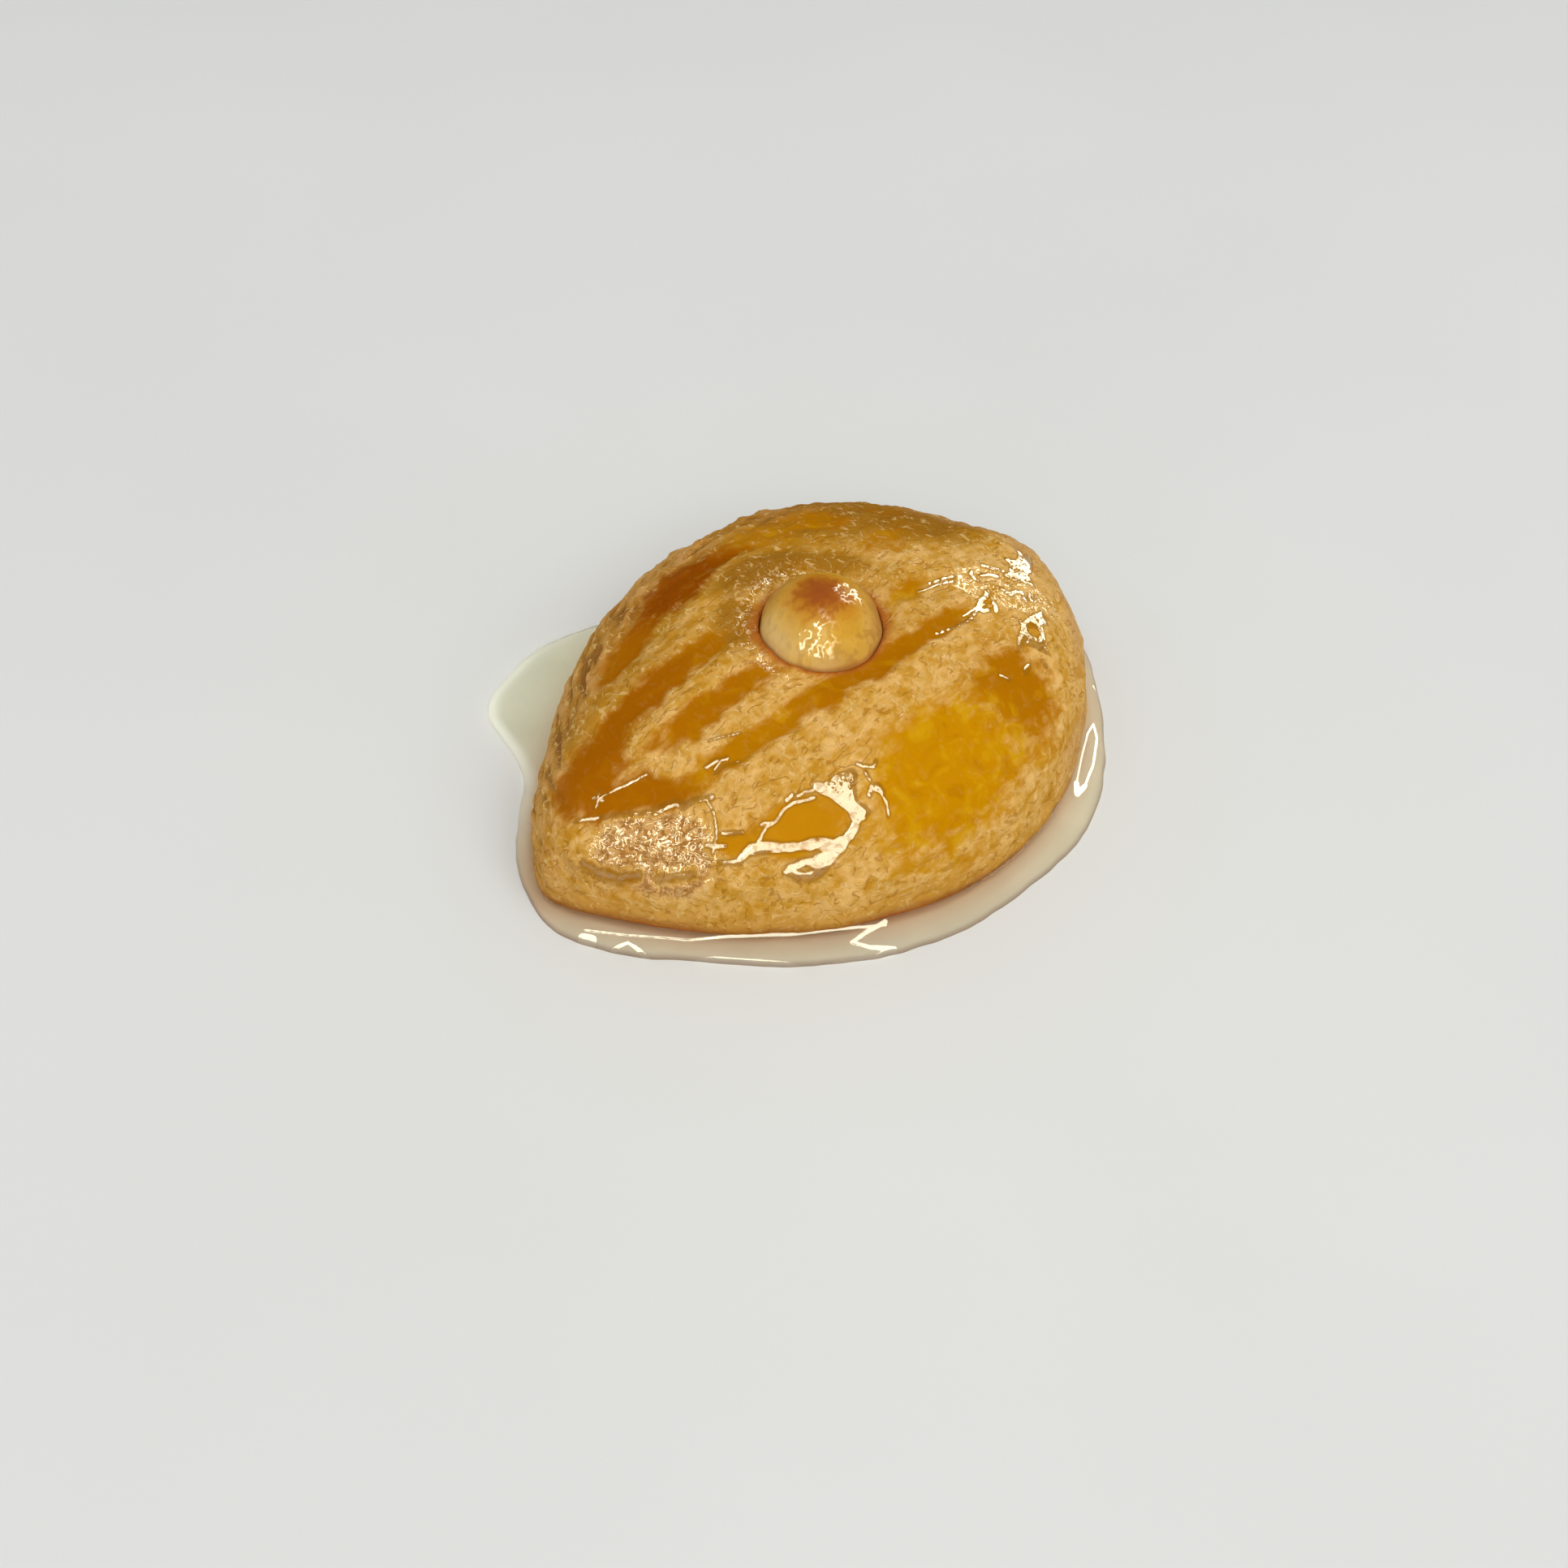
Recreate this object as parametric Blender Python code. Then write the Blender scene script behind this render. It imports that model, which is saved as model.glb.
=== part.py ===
"""A lemon-shaped semolina cake in its syrup, with a hazelnut pressed into the top.

Metres, +Z up. The origin is on the flat underside, at the middle of the cake's length.
+X runs along the cake to its blunter tip, and -Y is the side with the largest glazed patch.
"""

import math

import bmesh
import bpy
from mathutils import Vector, noise

# The cake: its outline at the widest level, and the dome above and the tuck below it.
CAKE_LENGTH = 0.0751
BACK_WIDTH = 0.0268
FRONT_WIDTH = 0.0287
CAKE_HEIGHT = 0.0215
WIDEST_LEVEL = 0.0025
FOOT_INSET = 0.0020
SHARP_TIP = 0.68
BLUNT_TIP = 0.28
TIP_ROUNDING = 0.3
DOME_SPREAD = 0.79
DOME_FULLNESS = 0.79
# Where the outline swells or draws in: degrees round from +X, and the share of its radius.
OUTLINE_SWELLS = ((20, -0.092), (160, 0.062), (250, -0.028), (340, -0.027))
SWELL_SPREAD = 24

# The hazelnut, and the hollow that it is pressed into.
NUT_DIAMETER = 0.0138
NUT_PLACE = Vector((-0.0012, -0.0010, 0.0195))
NUT_LEAN = math.radians(15)
NUT_LEANS_TOWARDS = math.radians(-108)
NUT_POINT = 0.05
NUT_POINT_SPREAD = 0.45
NUT_FURROWS = 9
NUT_FURROW_DEPTH = 0.010
HOLLOW_DEPTH = 0.0012
HOLLOW_RADIUS = 0.0080
RIM_HEIGHT = 0.0004
RIM_RADIUS = 0.0105
RIM_WIDTH = 0.0020

# Glazed bands, where the crust stayed whole: middle x and y, half length, half width and
# turn. They lie a little below the cracked crumb between them. Millimetres and degrees.
GLAZED_BANDS = (
    (-10.0, 15.2, 13.5, 3.2, 10),
    (-22.5, 4.9, 13.0, 2.3, 2),
    (-17.5, -2.6, 7.0, 1.5, -2),
    (-28.5, -3.4, 5.5, 1.5, -20),
    (-4.0, -8.9, 15.5, 1.6, -3),
    (-18.0, -17.2, 5.5, 2.3, -28),
    (-2.5, -20.6, 9.5, 4.8, 2),
    (13.5, -18.6, 6.5, 3.0, 12),
    (14.5, 4.8, 5.5, 1.8, 4),
    (7.0, 16.5, 7.5, 2.3, -6),
)
BAND_DEPTH = 0.00040
BAND_SHARPNESS = 3.0

# Unevenness of the crust: size of the lumps, and how far they stand out.
LUMP_SIZE = 0.0085
LUMP_HEIGHT = 0.00045
CRUMB_SIZE = 0.0026
CRUMB_HEIGHT = 0.00028
CRUMB_UNDER_GLAZE = 0.2
PLAIN_FOOT = 0.0004

# The pool of syrup: its depth, and how far it reaches past the cake's outline.
POOL_DEPTH = 0.0011
POOL_REACH = 0.0023
# More or less reach: degrees round from +X, how much, and over how many degrees.
POOL_RUNS = (
    (113.6, 0.0073, 14),
    (124.6, 0.0036, 6.6),
    (170, -0.0014, 15),
    (198, 0.0010, 17),
    (251, 0.0015, 26),
    (292, 0.0015, 17),
)
POOL_EDGE = 0.0008

CLEARANCE = 0.0003
ON_THE_GROUND = 0.00003
SKIN_SEGMENTS = 96
SKIN_RINGS = 34
TOP_SHARE = 0.88
NUT_SEGMENTS = 36
NUT_RINGS = 22
POOL_SEGMENTS = 120

CAKE_COLOR = (0.57, 0.30, 0.055, 1)
NUT_COLOR = (0.72, 0.46, 0.16, 1)
SYRUP_COLOR = (0.75, 0.62, 0.38, 1)


def bump(offset, spread):
    """1 in the middle, fading smoothly to 0."""
    return math.exp(-((offset / spread) ** 2))


def angle_between(angle, degrees):
    """How far an angle is from one in degrees, the shorter way round, in degrees."""
    return (math.degrees(angle) - degrees + 180) % 360 - 180


def smooth_step(value, low, high):
    share = min(1.0, max(0.0, (value - low) / (high - low)))
    return share * share * (3 - 2 * share)


def outline(angle):
    """The cake's outline at its widest level: an oval drawn in to a rounded tip at each end."""
    across, along = math.sin(angle), math.cos(angle)
    sharp_share = 0.5 - 0.5 * math.tanh(4 * along)
    tip = BLUNT_TIP + (SHARP_TIP - BLUNT_TIP) * sharp_share
    drawn_in = (math.hypot(across, TIP_ROUNDING) / math.hypot(1, TIP_ROUNDING)) ** tip
    half_width = BACK_WIDTH if across > 0 else FRONT_WIDTH
    swell = 1 + sum(amount * bump(angle_between(angle, at), SWELL_SPREAD) for at, amount in OUTLINE_SWELLS)
    x = CAKE_LENGTH / 2 * along * swell
    y = half_width * across * drawn_in * swell
    return Vector((x, y, 0))


def outward(angle):
    """The direction that points straight out of the outline."""
    step = math.radians(1)
    run = outline(angle + step) - outline(angle - step)
    return Vector((run.y, -run.x, 0)).normalized()


def skin_point(share, angle):
    """A point of the smooth cake: share 0 is the crown, TOP_SHARE the widest level, 1 the foot."""
    if share <= TOP_SHARE:
        turn = share / TOP_SHARE * math.pi / 2
        spread = math.sin(turn) ** DOME_SPREAD
        rise = max(0.0, math.cos(turn)) ** DOME_FULLNESS
        level = WIDEST_LEVEL + (CAKE_HEIGHT - WIDEST_LEVEL) * rise
        return outline(angle) * spread + Vector((0, 0, level))
    turn = (share - TOP_SHARE) / (1 - TOP_SHARE) * math.pi / 2
    inset = FOOT_INSET * (1 - math.cos(turn))
    level = WIDEST_LEVEL * (1 - math.sin(turn))
    return outline(angle) - outward(angle) * inset + Vector((0, 0, level))


def glaze(x, y):
    """How much of the glazed crust covers a place: 1 inside a band, 0 on the crumb."""
    cover = 0.0
    for middle_x, middle_y, half_length, half_width, turn in GLAZED_BANDS:
        across, along = math.sin(math.radians(turn)), math.cos(math.radians(turn))
        dx, dy = x * 1000 - middle_x, y * 1000 - middle_y
        u = (dx * along + dy * across) / half_length
        v = (dy * along - dx * across) / half_width
        cover = max(cover, smooth_step(BAND_SHARPNESS * (1 - math.hypot(u, v)), -1, 1))
    return cover


def hollow(x, y):
    """The dent round the nut, with the rim of crumb that it pushed up."""
    away = math.hypot(x - NUT_PLACE.x, y - NUT_PLACE.y)
    return RIM_HEIGHT * bump(away - RIM_RADIUS, RIM_WIDTH) - HOLLOW_DEPTH * bump(away, HOLLOW_RADIUS)


def crust(point):
    """How far the crust stands out from the smooth cake."""
    cover = glaze(point.x, point.y)
    lumps = LUMP_HEIGHT * noise.noise(point / LUMP_SIZE)
    crumb = CRUMB_HEIGHT * noise.noise(point / CRUMB_SIZE) * (1 - (1 - CRUMB_UNDER_GLAZE) * cover)
    off_the_foot = smooth_step(point.z, PLAIN_FOOT, WIDEST_LEVEL)
    return (lumps + crumb - BAND_DEPTH * cover) * off_the_foot


def mesh_object(name, mesh_bm, collection):
    mesh = bpy.data.meshes.new(name)
    mesh_bm.to_mesh(mesh)
    mesh_bm.free()
    thing = bpy.data.objects.new(name, mesh)
    collection.objects.link(thing)
    return thing


def cake_skin(name, collection, grow=0.0, crusty=True):
    """The cake as one closed skin: a sphere's rings spread over the dome, and a flat underside."""
    bm = bmesh.new()
    bmesh.ops.create_uvsphere(bm, u_segments=SKIN_SEGMENTS, v_segments=SKIN_RINGS + 1, radius=1)
    lowest = min(bm.verts, key=lambda vert: vert.co.z)
    foot_edges = [edge for face in lowest.link_faces for edge in face.edges if lowest not in edge.verts]
    bmesh.ops.delete(bm, geom=[lowest], context="VERTS")
    bmesh.ops.contextual_create(bm, geom=foot_edges)
    for vert in bm.verts:
        from_top = math.acos(max(-1.0, min(1.0, vert.co.z))) / math.pi
        share = from_top * (SKIN_RINGS + 1) / SKIN_RINGS
        vert.co = skin_point(min(1.0, share), math.atan2(vert.co.y, vert.co.x))
    bmesh.ops.recalc_face_normals(bm, faces=bm.faces)
    bm.normal_update()
    for vert in bm.verts:
        if vert.co.z < ON_THE_GROUND:
            vert.co += Vector((vert.co.x, vert.co.y, 0)).normalized() * grow
            continue
        out = vert.normal.copy()
        vert.co += out * (crust(vert.co) if crusty else grow)
        if crusty:
            vert.co.z += hollow(vert.co.x, vert.co.y)
    return mesh_object(name, bm, collection)


def nut_shape(name, collection, grow=0.0):
    """A peeled hazelnut: nearly round, drawn to a point at the top, faintly furrowed."""
    bm = bmesh.new()
    bmesh.ops.create_uvsphere(bm, u_segments=NUT_SEGMENTS, v_segments=NUT_RINGS, radius=1)
    for vert in bm.verts:
        out = vert.co.normalized()
        from_tip = math.acos(max(-1.0, min(1.0, out.z)))
        furrow = math.cos(NUT_FURROWS * math.atan2(out.y, out.x)) * math.sin(from_tip) ** 2
        radius = NUT_DIAMETER / 2 * (1 + NUT_POINT * bump(from_tip, NUT_POINT_SPREAD) - NUT_FURROW_DEPTH * (1 + furrow))
        vert.co = out * (radius + grow)
    nut = mesh_object(name, bm, collection)
    nut.location = NUT_PLACE
    nut.rotation_euler = (0, NUT_LEAN, NUT_LEANS_TOWARDS)
    return nut


def pool_reach(angle):
    """How far the syrup runs past the cake's outline."""
    return POOL_REACH + sum(more * bump(angle_between(angle, at), spread) for at, more, spread in POOL_RUNS)


def syrup_pool(name, collection):
    """The syrup that ran off the cake: a shallow pool with a rounded edge."""
    bm = bmesh.new()
    bmesh.ops.create_cone(bm, cap_ends=True, segments=POOL_SEGMENTS, radius1=1, radius2=1, depth=1)
    top_edges = [edge for edge in bm.edges if all(vert.co.z > 0 for vert in edge.verts)]
    for vert in bm.verts:
        angle = math.atan2(vert.co.y, vert.co.x)
        level = POOL_DEPTH if vert.co.z > 0 else 0
        vert.co = outline(angle) + outward(angle) * pool_reach(angle) + Vector((0, 0, level))
    bm.normal_update()
    bmesh.ops.bevel(bm, geom=top_edges, offset=POOL_EDGE, segments=3, profile=0.5, affect="EDGES")
    return mesh_object(name, bm, collection)


def cut(thing, cutter):
    modifier = thing.modifiers.new("cut_by_" + cutter.name, "BOOLEAN")
    modifier.operation = "DIFFERENCE"
    modifier.solver = "EXACT"
    modifier.object = cutter


def paint(thing, color, roughness, alpha=1.0):
    """Gives a piece its own food material."""
    material = bpy.data.materials.new(thing.name)
    material.use_nodes = True
    shader = material.node_tree.nodes["Principled BSDF"]
    shader.inputs["Base Color"].default_value = color
    shader.inputs["Roughness"].default_value = roughness
    shader.inputs["Metallic"].default_value = 0
    shader.inputs["Alpha"].default_value = alpha
    material.diffuse_color = color
    thing.data.materials.append(material)
    thing.data.shade_smooth()


def new_collection(name):
    collection = bpy.data.collections.new(name)
    bpy.context.scene.collection.children.link(collection)
    return collection


def main():
    for old in list(bpy.data.objects):
        bpy.data.objects.remove(old)
    parts = new_collection("semolina_cake")
    cutters = new_collection("cutters")

    cake = cake_skin("cake", parts)
    hazelnut = nut_shape("hazelnut", parts)
    syrup = syrup_pool("syrup", parts)
    socket = nut_shape("socket_cutter", cutters, grow=CLEARANCE)
    foot = cake_skin("foot_cutter", cutters, grow=CLEARANCE, crusty=False)
    foot.location.z = -CLEARANCE
    for cutter in (socket, foot):
        cutter.hide_render = True
        cutter.display_type = "WIRE"
    cut(cake, socket)
    cut(syrup, foot)

    paint(cake, CAKE_COLOR, 0.35)
    paint(hazelnut, NUT_COLOR, 0.30)
    paint(syrup, SYRUP_COLOR, 0.05, alpha=0.6)


main()
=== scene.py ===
"""The looks of a semolina cake: glazed bands on a golden crumb, a hazelnut, and a pool of syrup.

Metres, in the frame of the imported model: +X runs to the cake's blunter tip, and -Y is the
side with the largest glazed patch. Places on the crust are (x, y) in millimetres.
"""

import math

import bpy
import numpy as np
from mathutils import Matrix, Vector, noise


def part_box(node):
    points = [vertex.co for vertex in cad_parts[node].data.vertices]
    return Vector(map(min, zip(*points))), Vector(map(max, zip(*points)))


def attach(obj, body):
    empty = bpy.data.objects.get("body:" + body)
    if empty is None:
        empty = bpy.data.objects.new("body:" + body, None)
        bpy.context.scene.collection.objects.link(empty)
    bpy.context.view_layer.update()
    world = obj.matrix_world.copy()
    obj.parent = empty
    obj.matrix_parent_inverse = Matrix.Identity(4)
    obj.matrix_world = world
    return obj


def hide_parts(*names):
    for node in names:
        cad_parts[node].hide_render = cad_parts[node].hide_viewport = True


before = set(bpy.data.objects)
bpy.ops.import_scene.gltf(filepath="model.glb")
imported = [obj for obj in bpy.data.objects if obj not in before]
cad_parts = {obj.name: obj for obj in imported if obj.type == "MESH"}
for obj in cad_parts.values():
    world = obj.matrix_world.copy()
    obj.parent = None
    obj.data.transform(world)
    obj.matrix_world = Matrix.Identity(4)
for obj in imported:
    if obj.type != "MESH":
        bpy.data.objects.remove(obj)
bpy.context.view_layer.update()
_, syrup_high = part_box("syrup")

MM = 0.001

# The cake's form, as its solid has it.
CAKE_LENGTH = 0.0751
BACK_WIDTH = 0.0268
FRONT_WIDTH = 0.0287
CAKE_HEIGHT = 0.0215
WIDEST_LEVEL = 0.0025
BACK_KNOBS = 0.0005
FOOT_INSET = 0.0020
FOOT_CLEARANCE = 0.0004
SHARP_TIP = 0.68
BLUNT_TIP = 0.28
TIP_ROUNDING = 0.3
DOME_SPREAD = 0.79
DOME_FULLNESS = 0.79
OUTLINE_SWELLS = ((20, -0.092, 24), (160, 0.062, 24), (250, -0.028, 24), (340, -0.027, 24))
LUMP_SIZE = 0.0085
LUMP_HEIGHT = 0.00045
CRUMB_SIZE = 0.0026
CRUMB_HEIGHT = 0.00028
GRAIN_SIZES = (0.00075, 0.00042)
GRAIN_HEIGHT = 0.00007
CRACK_SIZE = 0.0019
CRACK_NARROWNESS = 10
CRACK_DEPTH = 0.00016
KNOB_SIZE = 0.0017
BAND_DEPTH = 0.00040
BAND_SHARPNESS = 2.4

# The nut and the hollow that it is pressed into.
NUT_DIAMETER = 0.0138
NUT_PLACE = Vector((-0.0012, -0.0010, 0.0195))
NUT_LEAN = math.radians(15)
NUT_LEANS_TOWARDS = math.radians(-108)
NUT_POINT = 0.05
NUT_POINT_SPREAD = 0.45
NUT_FURROWS = 9
NUT_FURROW_DEPTH = 0.010
NUT_BLUNT_END = 0.93
NUT_CREASE_HEIGHT = 0.000045
NUT_CREASE_STRETCH = (1, 1, 0.22)
NUT_CREASE_SIZES = (0.11, 0.05)
# Where the nut gleams: the way that it faces there, and how far round that reaches, in radians.
NUT_SHINES = ((-0.72, -0.36, 0.58, 0.56), (0.30, -0.26, 0.89, 0.27))
# Where the roast is darkest, and where painted light makes the kernel paler and painted shade makes it
# browner, told in that way too.
NUT_ROAST = Vector((-0.045, -0.055, 0.990))
NUT_PAINTED_LIGHT = ((-0.90, 0.10, 0.30, 0.60), (-0.60, -0.75, 0.05, 0.42))
NUT_PAINTED_SHADE = ((0.72, -0.50, 0.30, 0.75), (0.00, 0.85, 0.55, 0.70))
# The nut is painted in shade where it sits in the crust: fully below the first level, fading out up to the
# second.
CONTACT_LEVEL = 0.0205
CONTACT_TOP = 0.0213
HOLLOW_DEPTH = 0.0012
HOLLOW_RADIUS = 0.0080
RIM_HEIGHT = 0.0004
RIM_RADIUS = 0.0105
RIM_WIDTH = 0.0020
SOCKET_RADIUS = NUT_DIAMETER / 2 + 0.00002
# The dark ring round the nut, painted shade of the gap where it sits in the crust: its width, and where it
# is wider.
SHADED_RING_WIDTH = 0.0009
SHADED_RING_SWELLS = ((148, 1.3, 38), (-30, 0.78, 30))
# The frill of rough crumb behind the nut.
FRILL_RADIUS = 0.0088
FRILL_WIDTH = 0.0013
FRILL_ROUGHNESS = 0.024
# Painted shadow along the cake's foot, where it meets the syrup, up to this level.
FOOT_SHADOW_TOP = 0.0032
SKIRT_TOP = 0.0065
# Where the sides are wrinkled, and where they are smooth and pale: degrees round from +X, how
# far round, lowest and highest level in mm, and how strongly.
WRINKLED_SIDES = (
    (176, 8, 3.0, 9.0, 0.6),
    (162, 12, 3.0, 13.0, 1.0),
    (145, 14, 5.0, 15.3, 1.0),
    (122, 14, 7.5, 16.2, 1.0),
    (98, 16, 9.0, 17.0, 0.9),
    (68, 18, 10.5, 17.4, 0.6),
)
SMOOTH_SIDES = (
    (-48, 14, 1.0, 8.0, 0.7),
    (-22, 16, 2.0, 12.0, 0.8),
    (4, 18, 3.0, 15.5, 0.8),
    (30, 16, 4.0, 12.0, 0.6),
)
FOLD_SIZE = 0.0012
FOLD_STRETCH = 0.26
FURROW_DEPTH = 0.00025
CREST_HEIGHT = 0.00015

# The pool of syrup.
POOL_DEPTH = syrup_high.z
POOL_REACH = 0.0023
POOL_RUNS = (
    (113.6, 0.0073, 14),
    (124.6, 0.0036, 6.6),
    (170, -0.0014, 15),
    (198, 0.0010, 17),
    (251, 0.0015, 26),
    (292, 0.0015, 17),
)
POOL_WAVES = ((0.00025, 0.005, 2.2), (0.00012, 0.0018, 6.1))
POOL_INNER_EDGE = -0.0006
POOL_FLAT_STEPS = 22
POOL_ROUND_STEPS = 14
POOL_ROUND_SHARE = 0.25
POOL_RIPPLE_HEIGHT = 0.00005
POOL_RIPPLE_SIZE = 0.0032
POOL_EDGE = 0.0011
# The width of the painted shade along the pool's outer edge.
POOL_EDGE_SHADE = 0.00022
MENISCUS_HEIGHT = 0.0008
MENISCUS_REACH = 0.0005
GLEAM_HEIGHT = 0.00004
GLEAM_LEAN = (-0.36, -0.38, 0.0)
LEAN_ENDS = 0.010
NEAR_CAKE = 0.0023
# The lobe at the back thins out to nothing: where it is, how far round, and over what width.
LOBE_ANGLE = 122
LOBE_SPREAD = 24
LOBE_FADE = 0.0020

# Glazed patches: middle x and y, half length, half width, turn in degrees, tone, from 0 for
# light amber to 1 for dark red-brown, and how much of the crumb they cover.
GLAZED_PATCHES = (
    (-7.5, 15.7, 7.0, 3.3, 10, 1.0, 1.0),
    (-18.5, 12.2, 5.8, 2.0, 22, 0.65, 0.95),
    (-1.5, 14.6, 3.0, 0.9, 3, 0.9, 0.9),
    (5.5, 15.0, 7.5, 3.4, -6, 0.35, 0.60),
    (11.8, 12.8, 2.2, 3.6, 10, 0.5, 0.65),
    (14.5, 4.6, 5.5, 2.4, 8, 0.4, 0.55),
    (19.5, 10.5, 4.0, 2.2, -30, 0.7, 0.45),
    (-31.5, 2.2, 4.8, 3.2, 0, 0.72, 1.0),
    (-23.0, 4.7, 9.0, 2.3, 3, 0.70, 1.0),
    (-14.5, 5.0, 5.5, 2.1, 0, 0.5, 0.95),
    (-17.5, -2.0, 9.2, 1.9, -2, 0.55, 0.95),
    (-29.8, -3.3, 6.2, 1.8, -38, 0.65, 1.0),
    (-18.5, -7.6, 8.0, 1.7, -7, 0.35, 0.95),
    (-2.5, -8.9, 12.5, 1.8, -2, 0.5, 1.0),
    (9.5, -9.0, 5.5, 1.4, 3, 0.45, 0.85),
    (10.5, -3.6, 4.0, 1.4, -5, 0.35, 0.70),
    (-18.5, -17.2, 5.0, 2.2, -28, 0.35, 1.0),
    (-24.8, -13.4, 2.0, 0.9, -40, 0.4, 0.9),
    (-2.5, -21.4, 9.8, 5.7, 2, 0.10, 1.0),
    (3.0, -25.0, 10.0, 2.2, 6, 0.2, 0.55),
    (11.8, -19.2, 5.6, 5.2, 20, 0.5, 0.95),
    (-34.5, -6.5, 3.0, 1.6, -50, 0.4, 0.5),
)
# Crumb darker or paler than the rest, partly baked browner and partly painted: shade towards the back and
# left and round the nut, light on the front side. The same five measures, and how much darker.
BROWNED_AND_SHADED_PATCHES = (
    (-22.0, 9.5, 18.0, 7.0, 22, 0.9),
    (0.0, 17.0, 22.0, 6.5, -4, 1.3),
    (18.0, 11.0, 15.0, 9.0, -38, 2.1),
    (23.0, 3.5, 9.0, 5.5, -45, 1.2),
    (-22.0, 2.5, 15.0, 5.0, 3, 0.15),
    # The next three: a ring of painted shade round the nut.
    (-8.4, 5.2, 2.6, 5.0, -45, 2.0),
    (-0.6, 9.8, 6.6, 2.8, -10, 2.4),
    (6.6, 5.4, 2.2, 4.4, 40, 1.6),
    (0.0, 3.0, 12.0, 8.0, 0, 0.5),
    (8.0, -4.0, 8.0, 6.0, 0, 0.3),
    (-18.0, -5.0, 9.0, 1.6, -3, -0.6),
    (-4.0, -13.0, 16.0, 3.0, 0, -0.3),
    (-33.0, -7.0, 8.0, 5.0, -45, -0.6),
    (-12.0, -26.0, 16.0, 5.0, -20, -0.35),
    (29.0, -10.0, 8.0, 17.0, 20, -0.9),
)

# Where a wet film of syrup shines on the crust: outlines, holes in them, and strokes with
# their half widths, all in mm on the crust.
FILM_OUTLINES = (
    (
        (-14.4, -16.0), (-12.5, -16.3), (-10.9, -16.9), (-11.0, -17.6), (-11.8, -18.2), (-12.5, -19.2),
        (-11.9, -20.2), (-11.8, -20.8), (-12.5, -20.9), (-13.1, -20.7), (-13.4, -20.9), (-13.9, -20.3),
        (-13.8, -19.6), (-14.1, -18.7), (-14.6, -17.3), (-15.1, -16.6), (-15.5, -15.8), (-15.2, -15.3),
    ),
    (
        (-13.9, -20.2), (-13.4, -20.9), (-14.1, -21.1), (-15.8, -21.2), (-18.2, -20.9), (-19.2, -20.6),
        (-20.9, -19.4), (-21.9, -18.2), (-21.2, -18.4), (-18.8, -19.6), (-17.8, -20.0), (-17.9, -19.7),
        (-18.7, -19.2), (-20.7, -17.8), (-22.5, -16.4), (-24.0, -15.2), (-25.0, -15.0), (-26.7, -13.3),
        (-25.2, -14.5), (-23.6, -14.7), (-22.0, -15.8), (-21.2, -16.7), (-19.7, -17.9), (-18.6, -18.5),
        (-17.5, -19.1), (-16.3, -20.1), (-15.5, -20.4), (-14.7, -20.5),
    ),
    (
        (24.9, -4.2), (24.7, -5.4), (23.3, -6.6), (22.1, -6.7), (22.8, -7.8), (24.9, -9.1), (25.6, -7.4),
        (26.9, -6.9), (29.2, -4.8), (28.3, -4.1), (28.0, -2.8), (27.5, -4.2), (26.1, -5.1),
    ),
    (
        (18.4, -12.4), (18.4, -13.3), (20.0, -12.8), (21.5, -12.6), (22.7, -12.4), (22.5, -13.2),
        (21.9, -14.2), (20.9, -14.0), (20.1, -15.3), (19.1, -16.3), (18.9, -17.5), (17.6, -16.3),
        (16.8, -15.7), (17.4, -14.8), (16.3, -15.6), (15.1, -16.0), (16.6, -14.5), (17.8, -13.7),
    ),
    ((14.8, -17.6), (15.8, -17.5), (15.6, -18.0), (14.6, -18.5), (14.1, -18.3)),
)
FILM_HOLES = (
    ((-20.7, -19.0), (-19.8, -19.4), (-19.2, -19.9), (-19.3, -20.1), (-20.0, -19.8), (-20.6, -19.2)),
    ((24.6, -6.1), (25.4, -6.4), (24.7, -6.9), (23.9, -6.7)),
    ((18.7, -13.8), (19.8, -14.2), (19.8, -15.0), (18.8, -15.5), (18.1, -14.6)),
)
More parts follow.
